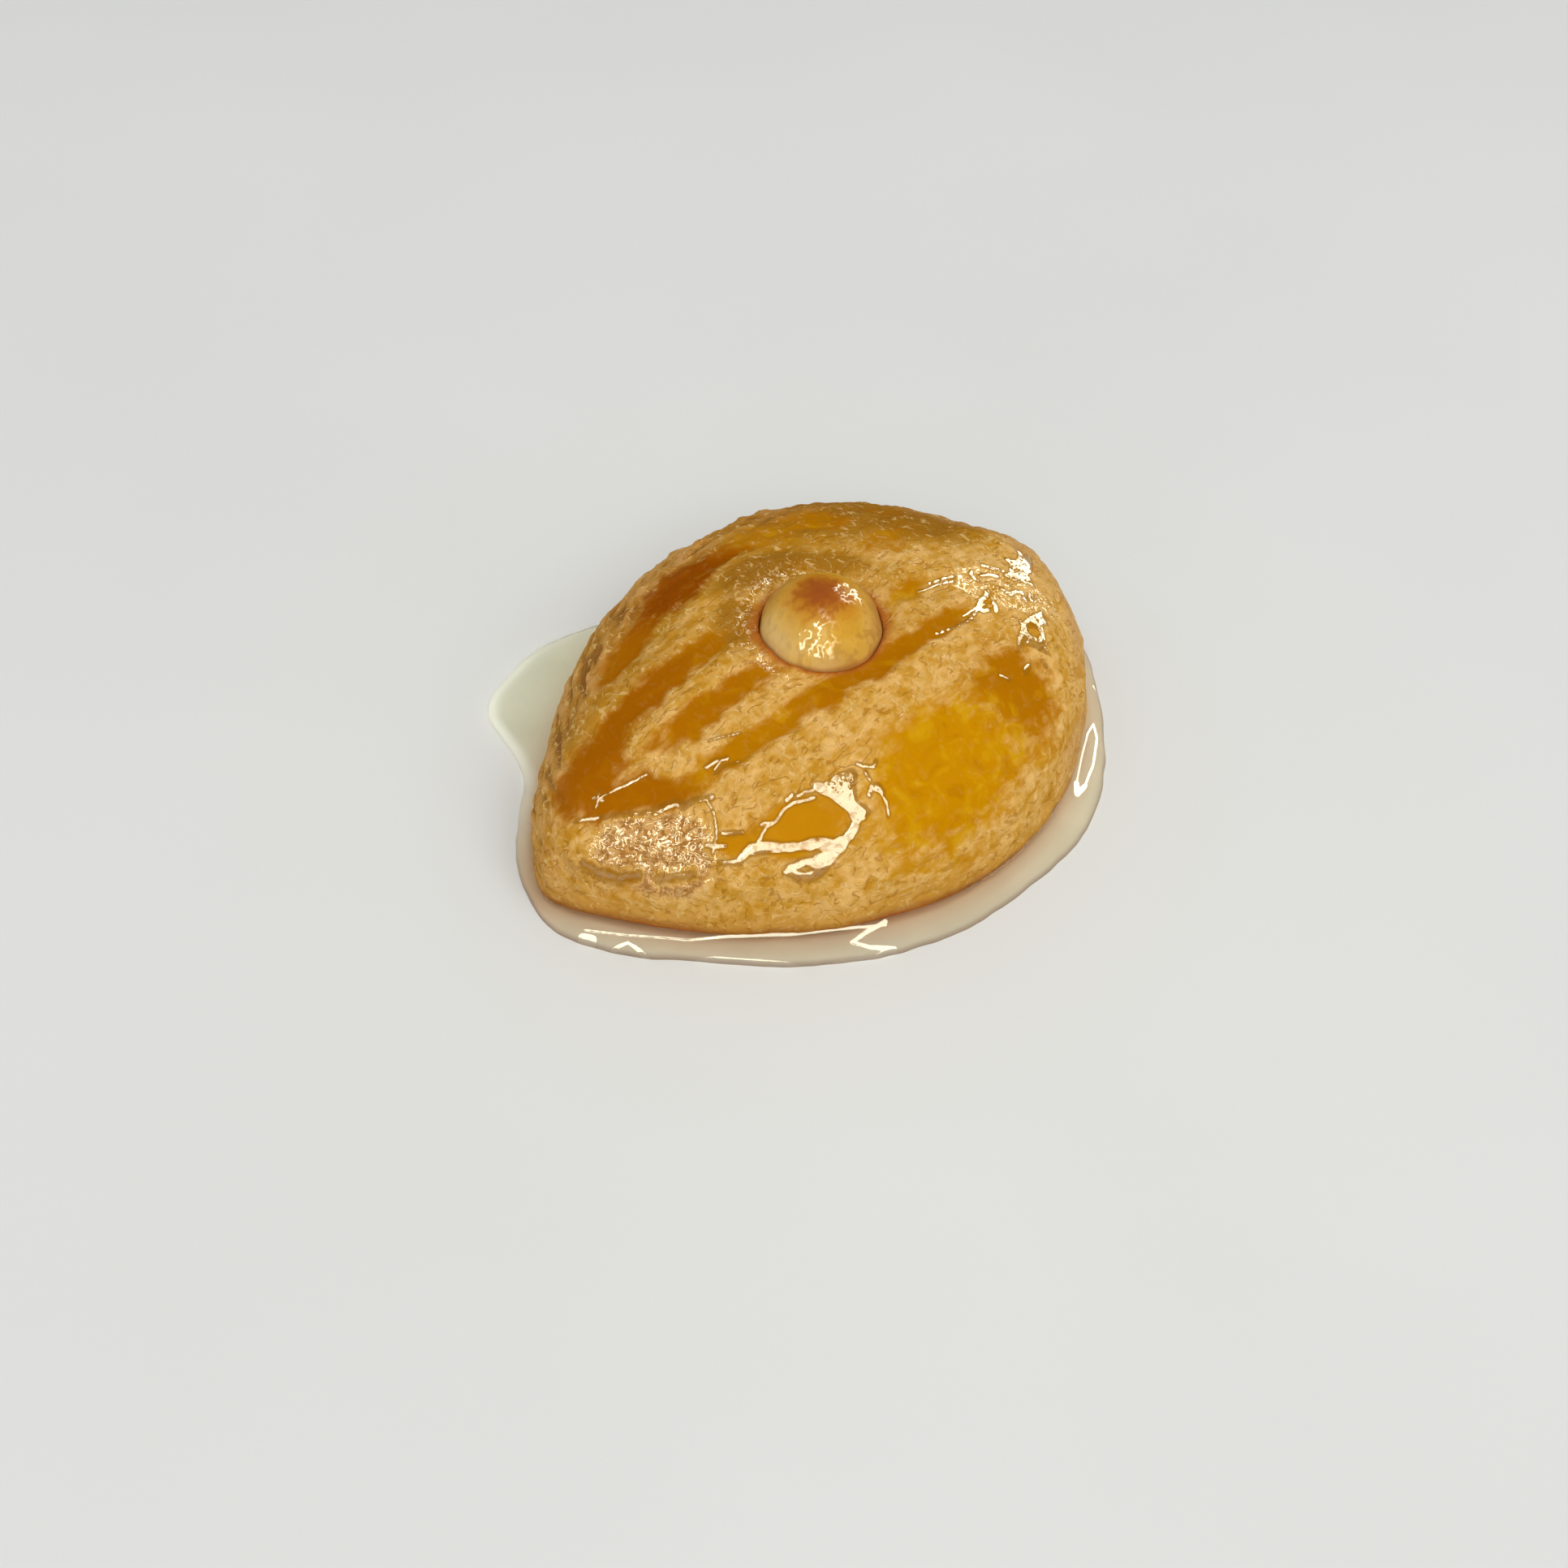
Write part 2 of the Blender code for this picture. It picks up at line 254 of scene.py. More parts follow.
FILM_STROKES = (
    (((-22.8, -15.2), (-21.4, -15.0), (-20.4, -15.3), (-19.2, -15.1), (-18.0, -15.3), (-15.9, -16.4)), 0.13),
    (((-17.3, -15.1), (-16.3, -15.4), (-15.6, -15.8)), 0.11),
    (((-18.4, -14.7), (-17.7, -14.7)), 0.16),
    (((-21.8, -14.4), (-21.3, -14.7), (-20.6, -15.2)), 0.09),
    (((-26.9, -11.7), (-26.2, -12.5), (-25.5, -13.1)), 0.13),
    (((-25.2, -12.2), (-24.4, -12.9), (-23.6, -13.6)), 0.10),
    (((-11.0, -19.6), (-10.2, -19.3), (-9.6, -19.7), (-9.6, -20.3)), 0.22),
    (((-10.3, -16.7), (-9.8, -17.3), (-8.9, -18.0), (-8.4, -17.7)), 0.13),
    (((-10.0, -17.8), (-10.1, -18.6)), 0.12),
    (((-22.6, -6.6), (-21.5, -6.8), (-20.5, -7.4)), 0.22),
    (((-22.1, -7.3), (-21.3, -7.2)), 0.18),
    (((-32.6, -0.5), (-31.9, -0.8), (-30.1, -1.7), (-27.6, -2.7)), 0.09),
    (((-33.2, -0.9), (-32.6, -0.5), (-32.1, -0.1)), 0.13),
    (((-32.9, 0.0), (-32.6, -0.5), (-32.4, -1.1)), 0.12),
    (((-22.4, -7.8), (-21.0, -7.9), (-19.8, -8.6)), 0.08),
    (((-29.2, -5.9), (-28.2, -6.3), (-27.1, -6.9), (-26.6, -7.8)), 0.32),
    (((-26.6, -7.8), (-25.5, -8.2), (-24.1, -9.3)), 0.20),
    (((-35.2, -0.1), (-33.9, -1.5), (-32.5, -2.7), (-30.9, -4.3), (-29.2, -5.9)), 0.10),
    (((-24.6, -9.1), (-24.8, -10.5), (-25.6, -11.9), (-26.7, -12.5)), 0.09),
    (((-36.3, -2.5), (-35.5, -4.3), (-34.2, -6.3), (-32.8, -7.8)), 0.10),
    (((-31.8, -9.2), (-30.2, -10.8), (-28.8, -12.1)), 0.07),
    (((-10.5, -19.3), (-9.9, -20.1), (-9.8, -21.3), (-10.3, -22.1)), 0.12),
    (((-20.7, -4.8), (-19.3, -5.5), (-17.6, -6.3)), 0.07),
    (((-5.6, 15.2), (-3.6, 14.5), (-0.8, 14.0), (2.2, 13.2)), 0.06),
    (((10.9, -4.0), (13.5, -4.3), (15.5, -5.1)), 0.10),
    (((12.8, -9.5), (14.7, -9.3), (16.3, -9.4)), 0.10),
    (((20.8, -4.6), (21.6, -5.4), (22.6, -6.2)), 0.22),
    (((18.8, -4.7), (18.1, -5.2), (18.1, -6.6)), 0.16),
    (((19.3, -5.8), (20.2, -6.0), (21.0, -6.7)), 0.24),
    (((19.9, -8.5), (20.2, -9.5), (21.6, -9.3), (22.3, -9.6), (21.7, -10.7)), 0.24),
    (((23.2, -10.0), (22.7, -10.8)), 0.22),
    (((24.0, -10.4), (23.9, -11.1)), 0.18),
    (((17.9, -8.1), (17.5, -8.5), (16.3, -8.8), (15.3, -9.4), (15.2, -10.1), (15.8, -10.2)), 0.26),
    (((17.4, -9.7), (17.2, -10.2), (16.6, -10.8)), 0.22),
    (((11.0, -17.5), (11.5, -18.2)), 0.18),
    (((17.6, -17.7), (17.6, -18.4)), 0.15),
)
# Rows of beads: where a row runs, and how far apart its beads are.
BEAD_ROWS = (
    (((8.1, -9.9), (10.5, -10.3), (12.7, -10.3), (14.8, -9.7)), 0.75),
    (((13.1, -3.7), (15.0, -4.1), (16.1, -4.5)), 0.6),
    (((13.4, -4.3), (15.0, -4.7), (15.8, -5.3)), 0.7),
)
BEAD_RADIUS = 0.2
# Where the film is broken up by specks of crumb: middle x and y, half length, half width, turn.
SPECKLED_PATCHES = (
    (-12.6, -17.2, 1.9, 1.3, -50),
    (25.8, -6.0, 4.6, 3.2, 0),
    (19.2, -14.6, 4.0, 3.4, 20),
    (20.6, -9.0, 4.5, 2.0, -30),
)
FILM_HEIGHT = 0.07
FILM_EDGE = 0.28
# Smooth dishes in the glaze: middle x and y, half length, half width, turn, and depth in mm.
GLAZE_DISHES = (
    (-18.2, -17.2, 4.4, 1.9, -26, 0.20),
    (-24.6, -13.6, 1.9, 0.8, -40, 0.12),
    (19.0, -14.4, 1.1, 0.8, 50, 0.18),
    (16.6, -9.6, 0.8, 0.7, 0, 0.12),
)
# Coarse grains that catch the light: middle x and y, half length, half width, turn, height.
ROUGH_PATCHES = (
    (-31.0, -8.0, 7.4, 3.3, -48, 0.05),
    (20.5, -8.5, 7.5, 3.6, -40, 0.028),
)
# The coarse grains end above the foot, between these levels.
ROUGH_BOTTOM = 0.0050
ROUGH_FULL = 0.0075
# How far edges wander, and the size and shift of the noise that moves them in x and in y.
GLAZE_WANDER = (0.0009, (0.0024, 3.1), (0.0021, 8.7))
FILM_WANDER = (0.0001, (0.0007, 6.6), (0.0007, 2.9))

# Where the pool gleams: strokes with their half widths, in mm on the pool.
POOL_GLEAMS = (
    (((-38.3, -4.8), (-35.7, -7.8), (-30.6, -13.2), (-27.4, -15.5), (-22.0, -19.8), (-13.0, -25.6)), 0.16),
    (((-12.8, -25.3), (-15.2, -24.9), (-17.4, -24.9), (-16.3, -26.7), (-14.3, -28.4), (-16.9, -27.6)), 0.27),
    (((-39.0, -5.3), (-38.4, -6.2), (-39.4, -6.6)), 0.50),
    (((-37.5, -8.5), (-35.8, -9.1), (-35.0, -12.3), (-29.8, -16.7), (-22.9, -23.7), (-14.8, -28.7)), 0.18),
    (((26.4, -20.0), (25.1, -21.8), (21.6, -24.4), (18.2, -26.1), (16.8, -26.3)), 0.12),
    (((16.8, -26.3), (18.0, -25.1), (21.6, -22.6), (24.8, -20.6), (26.4, -20.0)), 0.10),
    (((18.4, -26.0), (16.8, -26.3), (18.0, -25.1)), 0.30),
    (((31.1, -15.7), (30.9, -16.6), (30.3, -17.5)), 0.14),
    (((-29.0, 18.5), (-31.2, 15.0)), 0.15),
)

# How finely the surfaces are divided.
CAKE_COLUMNS = 660
CAKE_ROWS = {"socket": 6, "dome": 130, "tuck": 10}
COLUMN_CROWDING = 0.4
CROWDED_ANGLE = math.radians(-105)
POOL_COLUMNS = 1200
NUT_COLUMNS = 180
NUT_ROWS = 110

# The camera, in the frame's own metres, and the photograph's lens.
CAMERA_PLACE = Vector((-0.12208, -0.12163, 0.18992))
CAMERA_LOOKS_AT = Vector((-0.01362, -0.00921, 0.01071))
CAMERA_ROLL = math.radians(2.69)
LENS_MM = 50
SENSOR_MM = 36

# The floor, and the light. The softbox has a name, azimuth and elevation in degrees, distance,
# size and brightness. Windows are lights that only shiny surfaces see: name, azimuth, elevation,
# width and height.
FLOOR_SIZE = 3.0
FLOOR_LEVEL = -0.00002
FLOOR_COLORS = ((0.725, 0.728, 0.695), (0.745, 0.748, 0.715))
SKY_COLOR = (0.97, 0.98, 1.0, 1)
SKY_STRENGTH = 0.52
SOFTBOX = ("softbox_overhead", -110, 60, 1.2, (1.3, 1.3), 2.08)
WINDOW_DISTANCE = 0.6
WINDOW_BRIGHTNESS = 11
WINDOW_COLOR = (1.0, 1.0, 0.76)
WINDOWS = (
    ("window_front", -114, 27, 0.60, 0.95),
    ("window_left", -159, 22, 0.40, 0.80),
    ("window_right", 11, 27, 0.42, 0.60),
    ("window_back", 45, 50, 0.45, 0.45),
    ("window_top", -135, 78, 0.26, 0.26),
)

# Colours are linear red, green and blue. Ramps give a place from 0 to 1 with each colour.
# The crumb from low to high: darker low down, for pooled syrup and as painted shade in the dips.
CRUMB_COLORS = (
    (0.0, (0.54, 0.250, 0.016)),
    (0.28, (0.60, 0.305, 0.044)),
    (0.50, (0.65, 0.355, 0.072)),
    (0.72, (0.71, 0.400, 0.105)),
    (1.0, (0.79, 0.475, 0.150)),
)
# The colour of crumb baked browner, and of painted shade on it.
BROWNED_AND_SHADED_COLOR = (0.34, 0.145, 0.012)
AMBER_COLORS = (
    (0.0, (0.58, 0.255, 0.001)),
    (0.35, (0.47, 0.180, 0.001)),
    (0.70, (0.37, 0.110, 0.001)),
    (1.0, (0.27, 0.062, 0.001)),
)
BRIGHT_AMBER = (0.66, 0.365, 0.006)
DARK_AMBER = (0.42, 0.150, 0.001)
# What colours the crust, one over the other, stains together with painted shade and light: where it lies,
# how strongly, and its colour.
CRUST_STAINS_AND_PAINTED_SHADING = (
    ("skirt", 0.70, (0.60, 0.300, 0.050)),
    ("side", 0.85, (0.53, 0.290, 0.118)),
    ("wrinkled", 1.00, (0.49, 0.235, 0.055)),
    # furrows and crests: painted shade in the furrows and painted light on the crests of the wrinkles.
    ("furrows", 0.78, (0.21, 0.075, 0.016)),
    ("crests", 0.50, (0.70, 0.390, 0.150)),
    ("netted", 0.60, (0.62, 0.335, 0.130)),
    ("gaps", 0.70, (0.34, 0.135, 0.020)),
    ("dark_strokes", 1.00, (0.38, 0.140, 0.004)),
    ("pale_strokes", 1.00, (0.82, 0.550, 0.200)),
    ("specks", 0.45, (0.28, 0.120, 0.012)),
    ("dished", 0.85, (0.56, 0.235, 0.004)),
    # crease: painted shade in a ring round the nut where it sits, and in the socket under it.
    ("crease", 0.90, (0.42, 0.115, 0.016)),
    # foot: painted shadow along the foot, where the cake meets the syrup.
    ("foot", 0.80, (0.38, 0.140, 0.028)),
    # Painted shade along the edges of the wet film.
    ("film_edge_shade", 0.62, (0.31, 0.125, 0.006)),
)
# Noises in the crust: stretch in x, y and z, waves a millimetre, detail, distortion, roughness.
EVEN = (1, 1, 1)
CRUST_NOISES = {
    "patches": (EVEN, 0.26, 3, 0.6),
    "lumps": (EVEN, 0.50, 2.5, 0.9),
    "grit": (EVEN, 1.7, 2.5, 0.6, 0.55),
    "streaks": ((0.45, 1.4, 1.0), 0.70, 2.5, 0.9, 0.55),
    "clouds": (EVEN, 0.38, 3, 0.8),
    "breaks": ((1, 1.1, 1.2), 0.8, 1.5),
    "dark_lines": ((0.55, 1.5, 1.0), 0.62, 1.2, 0.4),
    "pale_lines": ((1.4, 0.7, 1.0), 0.60, 1.2, 0.4),
    "specks": (EVEN, 1.5, 3, 0.6, 0.6),
    "grain": (EVEN, 1.6, 4, 0.8, 0.6),
    "waves": (EVEN, 1.1, 2),
    "holes": (EVEN, 2.1, 2.5, 0.8, 0.6),
    "thin_film": (EVEN, 1.3, 2, 0.5),
    "curls": (EVEN, 0.85, 1.5, 1.8),
}
KERNEL_COLORS = (
    (0.35, (0.64, 0.345, 0.030)),
    (0.50, (0.76, 0.450, 0.065)),
    (0.65, (0.86, 0.570, 0.140)),
)
ROAST_COLORS = (
    (0.0, (0.33, 0.080, 0.014)),
    (0.35, (0.41, 0.125, 0.010)),
    (0.65, (0.54, 0.215, 0.012)),
    (1.0, (0.66, 0.340, 0.035)),
)
KERNEL_STAINS_AND_PAINTED_SHADING = (
    ("creased", 0.62, (0.48, 0.225, 0.020)),
    # Painted light on the kernel's left and front; painted shade on its right side and towards the back.
    ("painted_light", 0.70, (0.74, 0.530, 0.230)),
    ("painted_shade", 0.92, (0.45, 0.205, 0.046)),
)
# Painted shade on the nut where it sits in the crust.
CONTACT_SHADE = ("contact_shade", 0.75, (0.48, 0.180, 0.036))
SYRUP_COLORS = (
    (0.35, (0.530, 0.532, 0.442)),
    (0.65, (0.580, 0.578, 0.490)),
)
SYRUP_TINTS_AND_PAINTED_SHADE = (
    # near: browner by the cake, partly crumb in the syrup and partly painted shade and reflection of the
    # cake.
    ("near", 1, (0.70, 0.405, 0.215)),
    # rim: painted shade along the pool's outer edge.
    ("rim", 1, (0.33, 0.250, 0.220)),
    ("thin", 1, (0.94, 0.940, 0.920)),
    ("under", 1, (1, 1, 1)),
)
# The coat of syrup that mirrors the windows.
COAT = {"Coat_IOR": 1.7, "Coat_Roughness": 0.08}


def bump(offset, spread):
    """1 in the middle, fading smoothly to 0."""
    return np.exp(-((offset / spread) ** 2))


def degrees_apart(angle, degrees):
    """How far angles are from one in degrees, the shorter way round, in degrees."""
    return (np.degrees(angle) - degrees + 180) % 360 - 180


def swells(angle, places):
    """What swells add up to: each has its place and spread in degrees, with its size between."""
    return sum(size * bump(degrees_apart(angle, at), spread) for at, size, spread in places)


def smooth_step(value, low, high):
    share = np.clip((value - low) / (high - low), 0, 1)
    return share * share * (3 - 2 * share)


def noise_at(points, size, shift=0.0):
    """Smooth noise from about -1 to 1, with lumps of that size."""
    away = Vector((shift, shift, shift))
    values = [noise.noise(Vector(point) / size + away) for point in points.reshape(-1, 3)]
    return np.array(values).reshape(points.shape[:-1])


def directions(count, crowding=0.0):
    """The angles of so many columns, all the way round, closer together on the glazed side."""
    even = np.arange(count) * 2 * math.pi / count
    angle = np.linspace(-math.pi, 3 * math.pi, 8001)
    crowded = angle + crowding * (np.sin(angle - CROWDED_ANGLE) + math.sin(CROWDED_ANGLE))
    return np.interp(even, crowded, angle)


def ball(down, around):
    """Directions in rings: angles down from straight up, and angles round from +X."""
    flat, up = np.sin(down), np.cos(down)
    return np.stack([flat * np.cos(around), flat * np.sin(around), up * np.ones_like(around)], axis=-1)


# ---------------------------------------------------------------- form of the cake


def outline(angle):
    """The cake's outline at its widest level: an oval drawn in to a rounded tip at each end."""
    across, along = np.sin(angle), np.cos(angle)
    sharp_share = 0.5 - 0.5 * np.tanh(4 * along)
    tip = BLUNT_TIP + (SHARP_TIP - BLUNT_TIP) * sharp_share
    drawn_in = (np.hypot(across, TIP_ROUNDING) / math.hypot(1, TIP_ROUNDING)) ** tip
    half_width = np.where(across > 0, BACK_WIDTH, FRONT_WIDTH)
    swell = 1 + swells(angle, OUTLINE_SWELLS)
    return np.stack([CAKE_LENGTH / 2 * along * swell, half_width * across * drawn_in * swell], axis=-1)


def outward(angle):
    """The direction that points straight out of the outline."""
    step = math.radians(0.5)
    run = outline(angle + step) - outline(angle - step)
    out = np.stack([run[..., 1], -run[..., 0]], axis=-1)
    return out / np.linalg.norm(out, axis=-1, keepdims=True)


def dome_level(spread):
    """The dome's height where it has spread to that share of its outline."""
    turn = np.arcsin(np.clip(spread, 0, 1) ** (1 / DOME_SPREAD))
    return WIDEST_LEVEL + (CAKE_HEIGHT - WIDEST_LEVEL) * np.cos(turn) ** DOME_FULLNESS


def spread_at(x, y):
    """What share of the outline's radius a place lies at."""
    rim = outline(np.linspace(-math.pi, math.pi, 2881))
    rim_angle = np.unwrap(np.arctan2(rim[:, 1], rim[:, 0]))
    angle = (np.arctan2(y, x) - rim_angle[0]) % (2 * math.pi) + rim_angle[0]
    return np.hypot(x, y) / np.interp(angle, rim_angle, np.hypot(rim[:, 0], rim[:, 1]))


def dome_rows():
    """The smooth dome in rings, from a circle round the nut out to the outline."""
    angle = directions(CAKE_COLUMNS, COLUMN_CROWDING)
    first = SOCKET_RADIUS / (CAKE_LENGTH / 2) * 1.2
    turn = np.linspace(math.asin(first ** (1 / DOME_SPREAD)), math.pi / 2, CAKE_ROWS["dome"])
    spread = np.sin(turn)[:, None] ** DOME_SPREAD
    circle = np.stack([np.cos(angle), np.sin(angle)], axis=-1)
    radius = SOCKET_RADIUS + (spread - first) * CAKE_LENGTH * 0.42
    round_nut = np.array(NUT_PLACE[:2]) + radius[..., None] * circle
    round_cake = outline(angle) * spread[..., None]
    settled = 0.85
    blend = smooth_step(spread, first, settled)[..., None]
    flat = round_nut * (1 - blend) + round_cake * blend
    level = np.where(spread < settled, dome_level(spread_at(flat[..., 0], flat[..., 1])), dome_level(spread))
    return np.concatenate([flat, level[..., None]], axis=-1)


def tuck_rows():
    """The side below the widest level, drawn in to the foot."""
    angle = directions(CAKE_COLUMNS, COLUMN_CROWDING)
    turn = np.linspace(0, math.pi / 2, CAKE_ROWS["tuck"] + 1)[1:, None]
    inset = FOOT_INSET * (1 - np.cos(turn))
    flat = outline(angle) - outward(angle) * inset[..., None]
    level = np.broadcast_to(WIDEST_LEVEL * (1 - np.sin(turn)), flat.shape[:-1])
    return np.concatenate([flat, level[..., None]], axis=-1)


def socket_rows():
    """The bowl under the nut, from its bottom up to the lip of the dome."""
    angle = directions(CAKE_COLUMNS, COLUMN_CROWDING)
    turn = np.linspace(0.02, math.radians(82), CAKE_ROWS["socket"])[:, None]
    return np.array(NUT_PLACE) + SOCKET_RADIUS * ball(math.pi - turn, angle)


def ring_normals(rows):
    """Outward normals of a grid whose rings close on themselves."""
    along = np.gradient(rows, axis=0)
    around = np.roll(rows, -1, axis=1) - np.roll(rows, 1, axis=1)
    normal = np.cross(along, around)
    return normal / np.linalg.norm(normal, axis=-1, keepdims=True)


# ---------------------------------------------------------------- what lies on the crust


def oval(x, y, middle_x, middle_y, half_length, half_width, turn):
    """How far places are from an oval's middle, 1 being its edge."""
    across, along = math.sin(math.radians(turn)), math.cos(math.radians(turn))
    dx, dy = x / MM - middle_x, y / MM - middle_y
    return np.hypot((dx * along + dy * across) / half_length, (dy * along - dx * across) / half_width)


def distance_to_line(x, y, line):
    """The distance in millimetres from places to a line through a few points."""
    x, y = x / MM, y / MM
    best = np.full(x.shape, np.inf)
    for (ax, ay), (bx, by) in zip(line, line[1:]):
        length_squared = (bx - ax) ** 2 + (by - ay) ** 2
        along = np.clip(((x - ax) * (bx - ax) + (y - ay) * (by - ay)) / length_squared, 0, 1)
        best = np.minimum(best, np.hypot(x - ax - along * (bx - ax), y - ay - along * (by - ay)))
    return best


def inside(x, y, corners):
    """Which places lie inside a closed outline."""
    x, y = x / MM, y / MM
    within = np.zeros(x.shape, dtype=bool)
    for (ax, ay), (bx, by) in zip(corners, corners[1:] + corners[:1]):
        if ay != by:
            crosses = ((ay > y) != (by > y)) & (x < ax + (y - ay) * (bx - ax) / (by - ay))
            within ^= crosses
    return within


def depth_inside(x, y, corners):
    """How far inside a closed outline places lie, in mm, and below 0 outside it."""
    away = distance_to_line(x, y, corners + corners[:1])
    return np.where(inside(x, y, corners), away, -away)


def along_line(line, gap):
    """Places on a line, so far apart."""
    steps = [math.dist(start, end) for start, end in zip(line, line[1:])]
    reached = np.concatenate([[0], np.cumsum(steps)])
    stops = np.arange(0, reached[-1], gap)
    across, along = zip(*line)
    return zip(np.interp(stops, reached, across), np.interp(stops, reached, along))


def wandering(points, amount, *noises):
    """The points' x and y, moved about a little so that edges drawn with them are uneven."""
    return [
        points[..., axis] + amount * noise_at(points, size, shift)
        for axis, (size, shift) in enumerate(noises)
    ]


def wet_film(points):
    """How far inside the wet film each point lies, in mm, and below 0 outside it."""
    x, y = wandering(points, *FILM_WANDER)
    film = np.full(x.shape, -1.0)
    for corners in FILM_OUTLINES:
        film = np.maximum(film, depth_inside(x, y, corners))
    for corners in FILM_HOLES:
        film = np.minimum(film, -depth_inside(x, y, corners))
    for line, half_width in FILM_STROKES:
        film = np.maximum(film, half_width - distance_to_line(x, y, line))
    for line, gap in BEAD_ROWS:
        for bead_x, bead_y in along_line(line, gap):
            film = np.maximum(film, BEAD_RADIUS - np.hypot(x / MM - bead_x, y / MM - bead_y))
    return film


def glaze_and_tone(points):
    """How much of the glazed crust covers each point, and how dark it is."""
    x, y = wandering(points, *GLAZE_WANDER)
    cover = np.zeros(x.shape)
    tone = np.zeros(x.shape)
    for *place, patch_tone, share in GLAZED_PATCHES:
        one = share * smooth_step(BAND_SHARPNESS * (1 - oval(x, y, *place)), -1.2, 1.4)
        tone += one * patch_tone * (1 - cover)
        cover = cover + one * (1 - cover)
    return cover, tone / np.maximum(cover, 1e-3)


def relief(points, cover, film):
    """How far the crust stands out from the smooth cake, how rough it is, and where it is dished."""
    x, y, z = points[..., 0], points[..., 1], points[..., 2]
    wet = smooth_step(film, -0.5, 0.2)
    dished = np.zeros(x.shape)
    dip = np.zeros(x.shape)
    for *place, deep in GLAZE_DISHES:
        reach = oval(x, y, *place)
        dip = np.maximum(dip, deep * smooth_step(reach, 1.1, 0.4))
        dished = np.maximum(dished, smooth_step(reach, 1.25, 1.0))
    calm = np.maximum(np.maximum(cover, wet), dished)
    rough = np.zeros(x.shape)
    for *place, tall in ROUGH_PATCHES:
        rough = np.maximum(rough, tall * smooth_step(oval(x, y, *place), 1.15, 0.75))
    from_nut_x, from_nut_y = x - NUT_PLACE.x, y - NUT_PLACE.y
    away = np.hypot(from_nut_x, from_nut_y)
    behind = smooth_step(-from_nut_x + 1.2 * from_nut_y, -0.004, 0.006)
    rough = np.maximum(rough, FRILL_ROUGHNESS * behind * bump(away - FRILL_RADIUS, FRILL_WIDTH))
    rough = rough * (1 - wet) * smooth_step(z, ROUGH_BOTTOM, ROUGH_FULL)

    height = LUMP_HEIGHT * noise_at(points, LUMP_SIZE)
    height = height + CRUMB_HEIGHT * noise_at(points, CRUMB_SIZE) * (1 - 0.8 * calm)
    height = height - BAND_DEPTH * cover
    grains = noise_at(points, GRAIN_SIZES[0], 5.3) + 0.5 * noise_at(points, GRAIN_SIZES[1], 1.9)
    height = height + (rough * MM + GRAIN_HEIGHT * (1 - calm)) * grains
    cracks = (1 - np.abs(noise_at(points, CRACK_SIZE, 12.4))) ** CRACK_NARROWNESS
    height = height - CRACK_DEPTH * cracks * (1 - calm)
    height = height - dip * MM
    at_the_back = bump(degrees_apart(np.arctan2(y, x), 80), 48) * smooth_step(z, 0.008, 0.013)
    knobs = BACK_KNOBS * (0.6 + np.maximum(0, noise_at(points, KNOB_SIZE, 15.2)) * 1.2)
    height = height + knobs * at_the_back * smooth_step(away, 0.011, 0.016)
    height = height + FILM_HEIGHT * MM * smooth_step(film, -0.05, FILM_EDGE)
    return height * off_the_foot(z), rough, dished


def off_the_foot(level):
    """0 at the underside, so that it stays flat, and 1 from the widest level up."""
    return smooth_step(level, FOOT_CLEARANCE, WIDEST_LEVEL)


def on_sides(points, sides):
    """How strongly each point belongs to stretches of the cake's side."""
    turned = np.arctan2(points[..., 1], points[..., 0])
    level = points[..., 2] / MM
    best = np.zeros(level.shape)
    for degrees, spread, lowest, highest, share in sides:
        within = smooth_step(level, lowest - 1.5, lowest) * smooth_step(level, highest + 2.0, highest)
        best = np.maximum(best, share * bump(degrees_apart(turned, degrees), spread) * within)
    return best


def folds(rows):
    """Wrinkles that run round the side, from about -1 in a furrow to 1 on a crest."""
    around = np.cumsum(np.linalg.norm(np.diff(rows, axis=1, prepend=rows[:, -1:]), axis=-1), axis=1)
    down = np.cumsum(np.linalg.norm(np.diff(rows, axis=0, prepend=rows[:1]), axis=-1), axis=0)
    around = np.broadcast_to(around[-CAKE_ROWS["tuck"]], down.shape)
    flat = np.stack([around * FOLD_STRETCH, down, np.zeros_like(down)], axis=-1)
    return noise_at(flat, FOLD_SIZE, 3.3) + 0.5 * noise_at(flat, FOLD_SIZE * 0.45, 8.1)


def hollow(points):
    """The dent round the nut, with the rim of crumb that it pushed up."""
    away = np.hypot(points[..., 0] - NUT_PLACE.x, points[..., 1] - NUT_PLACE.y)
    return RIM_HEIGHT * bump(away - RIM_RADIUS, RIM_WIDTH) - HOLLOW_DEPTH * bump(away, HOLLOW_RADIUS)


# ---------------------------------------------------------------- meshes


def ring_faces(rows, columns):
    """Quads between rings of points, each ring closed on itself."""
    faces = []
    for row in range(rows - 1):
        for column in range(columns):
            after = (column + 1) % columns
            base = row * columns
            faces.append((base + column, base + columns + column, base + columns + after, base + after))
    return faces


def make_mesh(name, points, faces, values=None):
    """A smooth-shaded object from points and faces, with a value a point for each name."""
    mesh = bpy.data.meshes.new(name)
    mesh.from_pydata([tuple(point) for point in points], [], faces)
    mesh.validate()
    for value_name, numbers in (values or {}).items():
        layer = mesh.attributes.new(value_name, "FLOAT", "POINT")
        layer.data.foreach_set("value", np.asarray(numbers, dtype=np.float32).ravel())
    mesh.shade_smooth()
    thing = bpy.data.objects.new(name, mesh)
    bpy.context.scene.collection.objects.link(thing)
    return thing


def patches_over(points, patches, outer, inner):
    """The shares of all the patches that lie over each point, added up."""
    total = np.zeros(points.shape[:-1])
    for *place, share in patches:
        total = total + share * smooth_step(oval(points[..., 0], points[..., 1], *place), outer, inner)
    return total


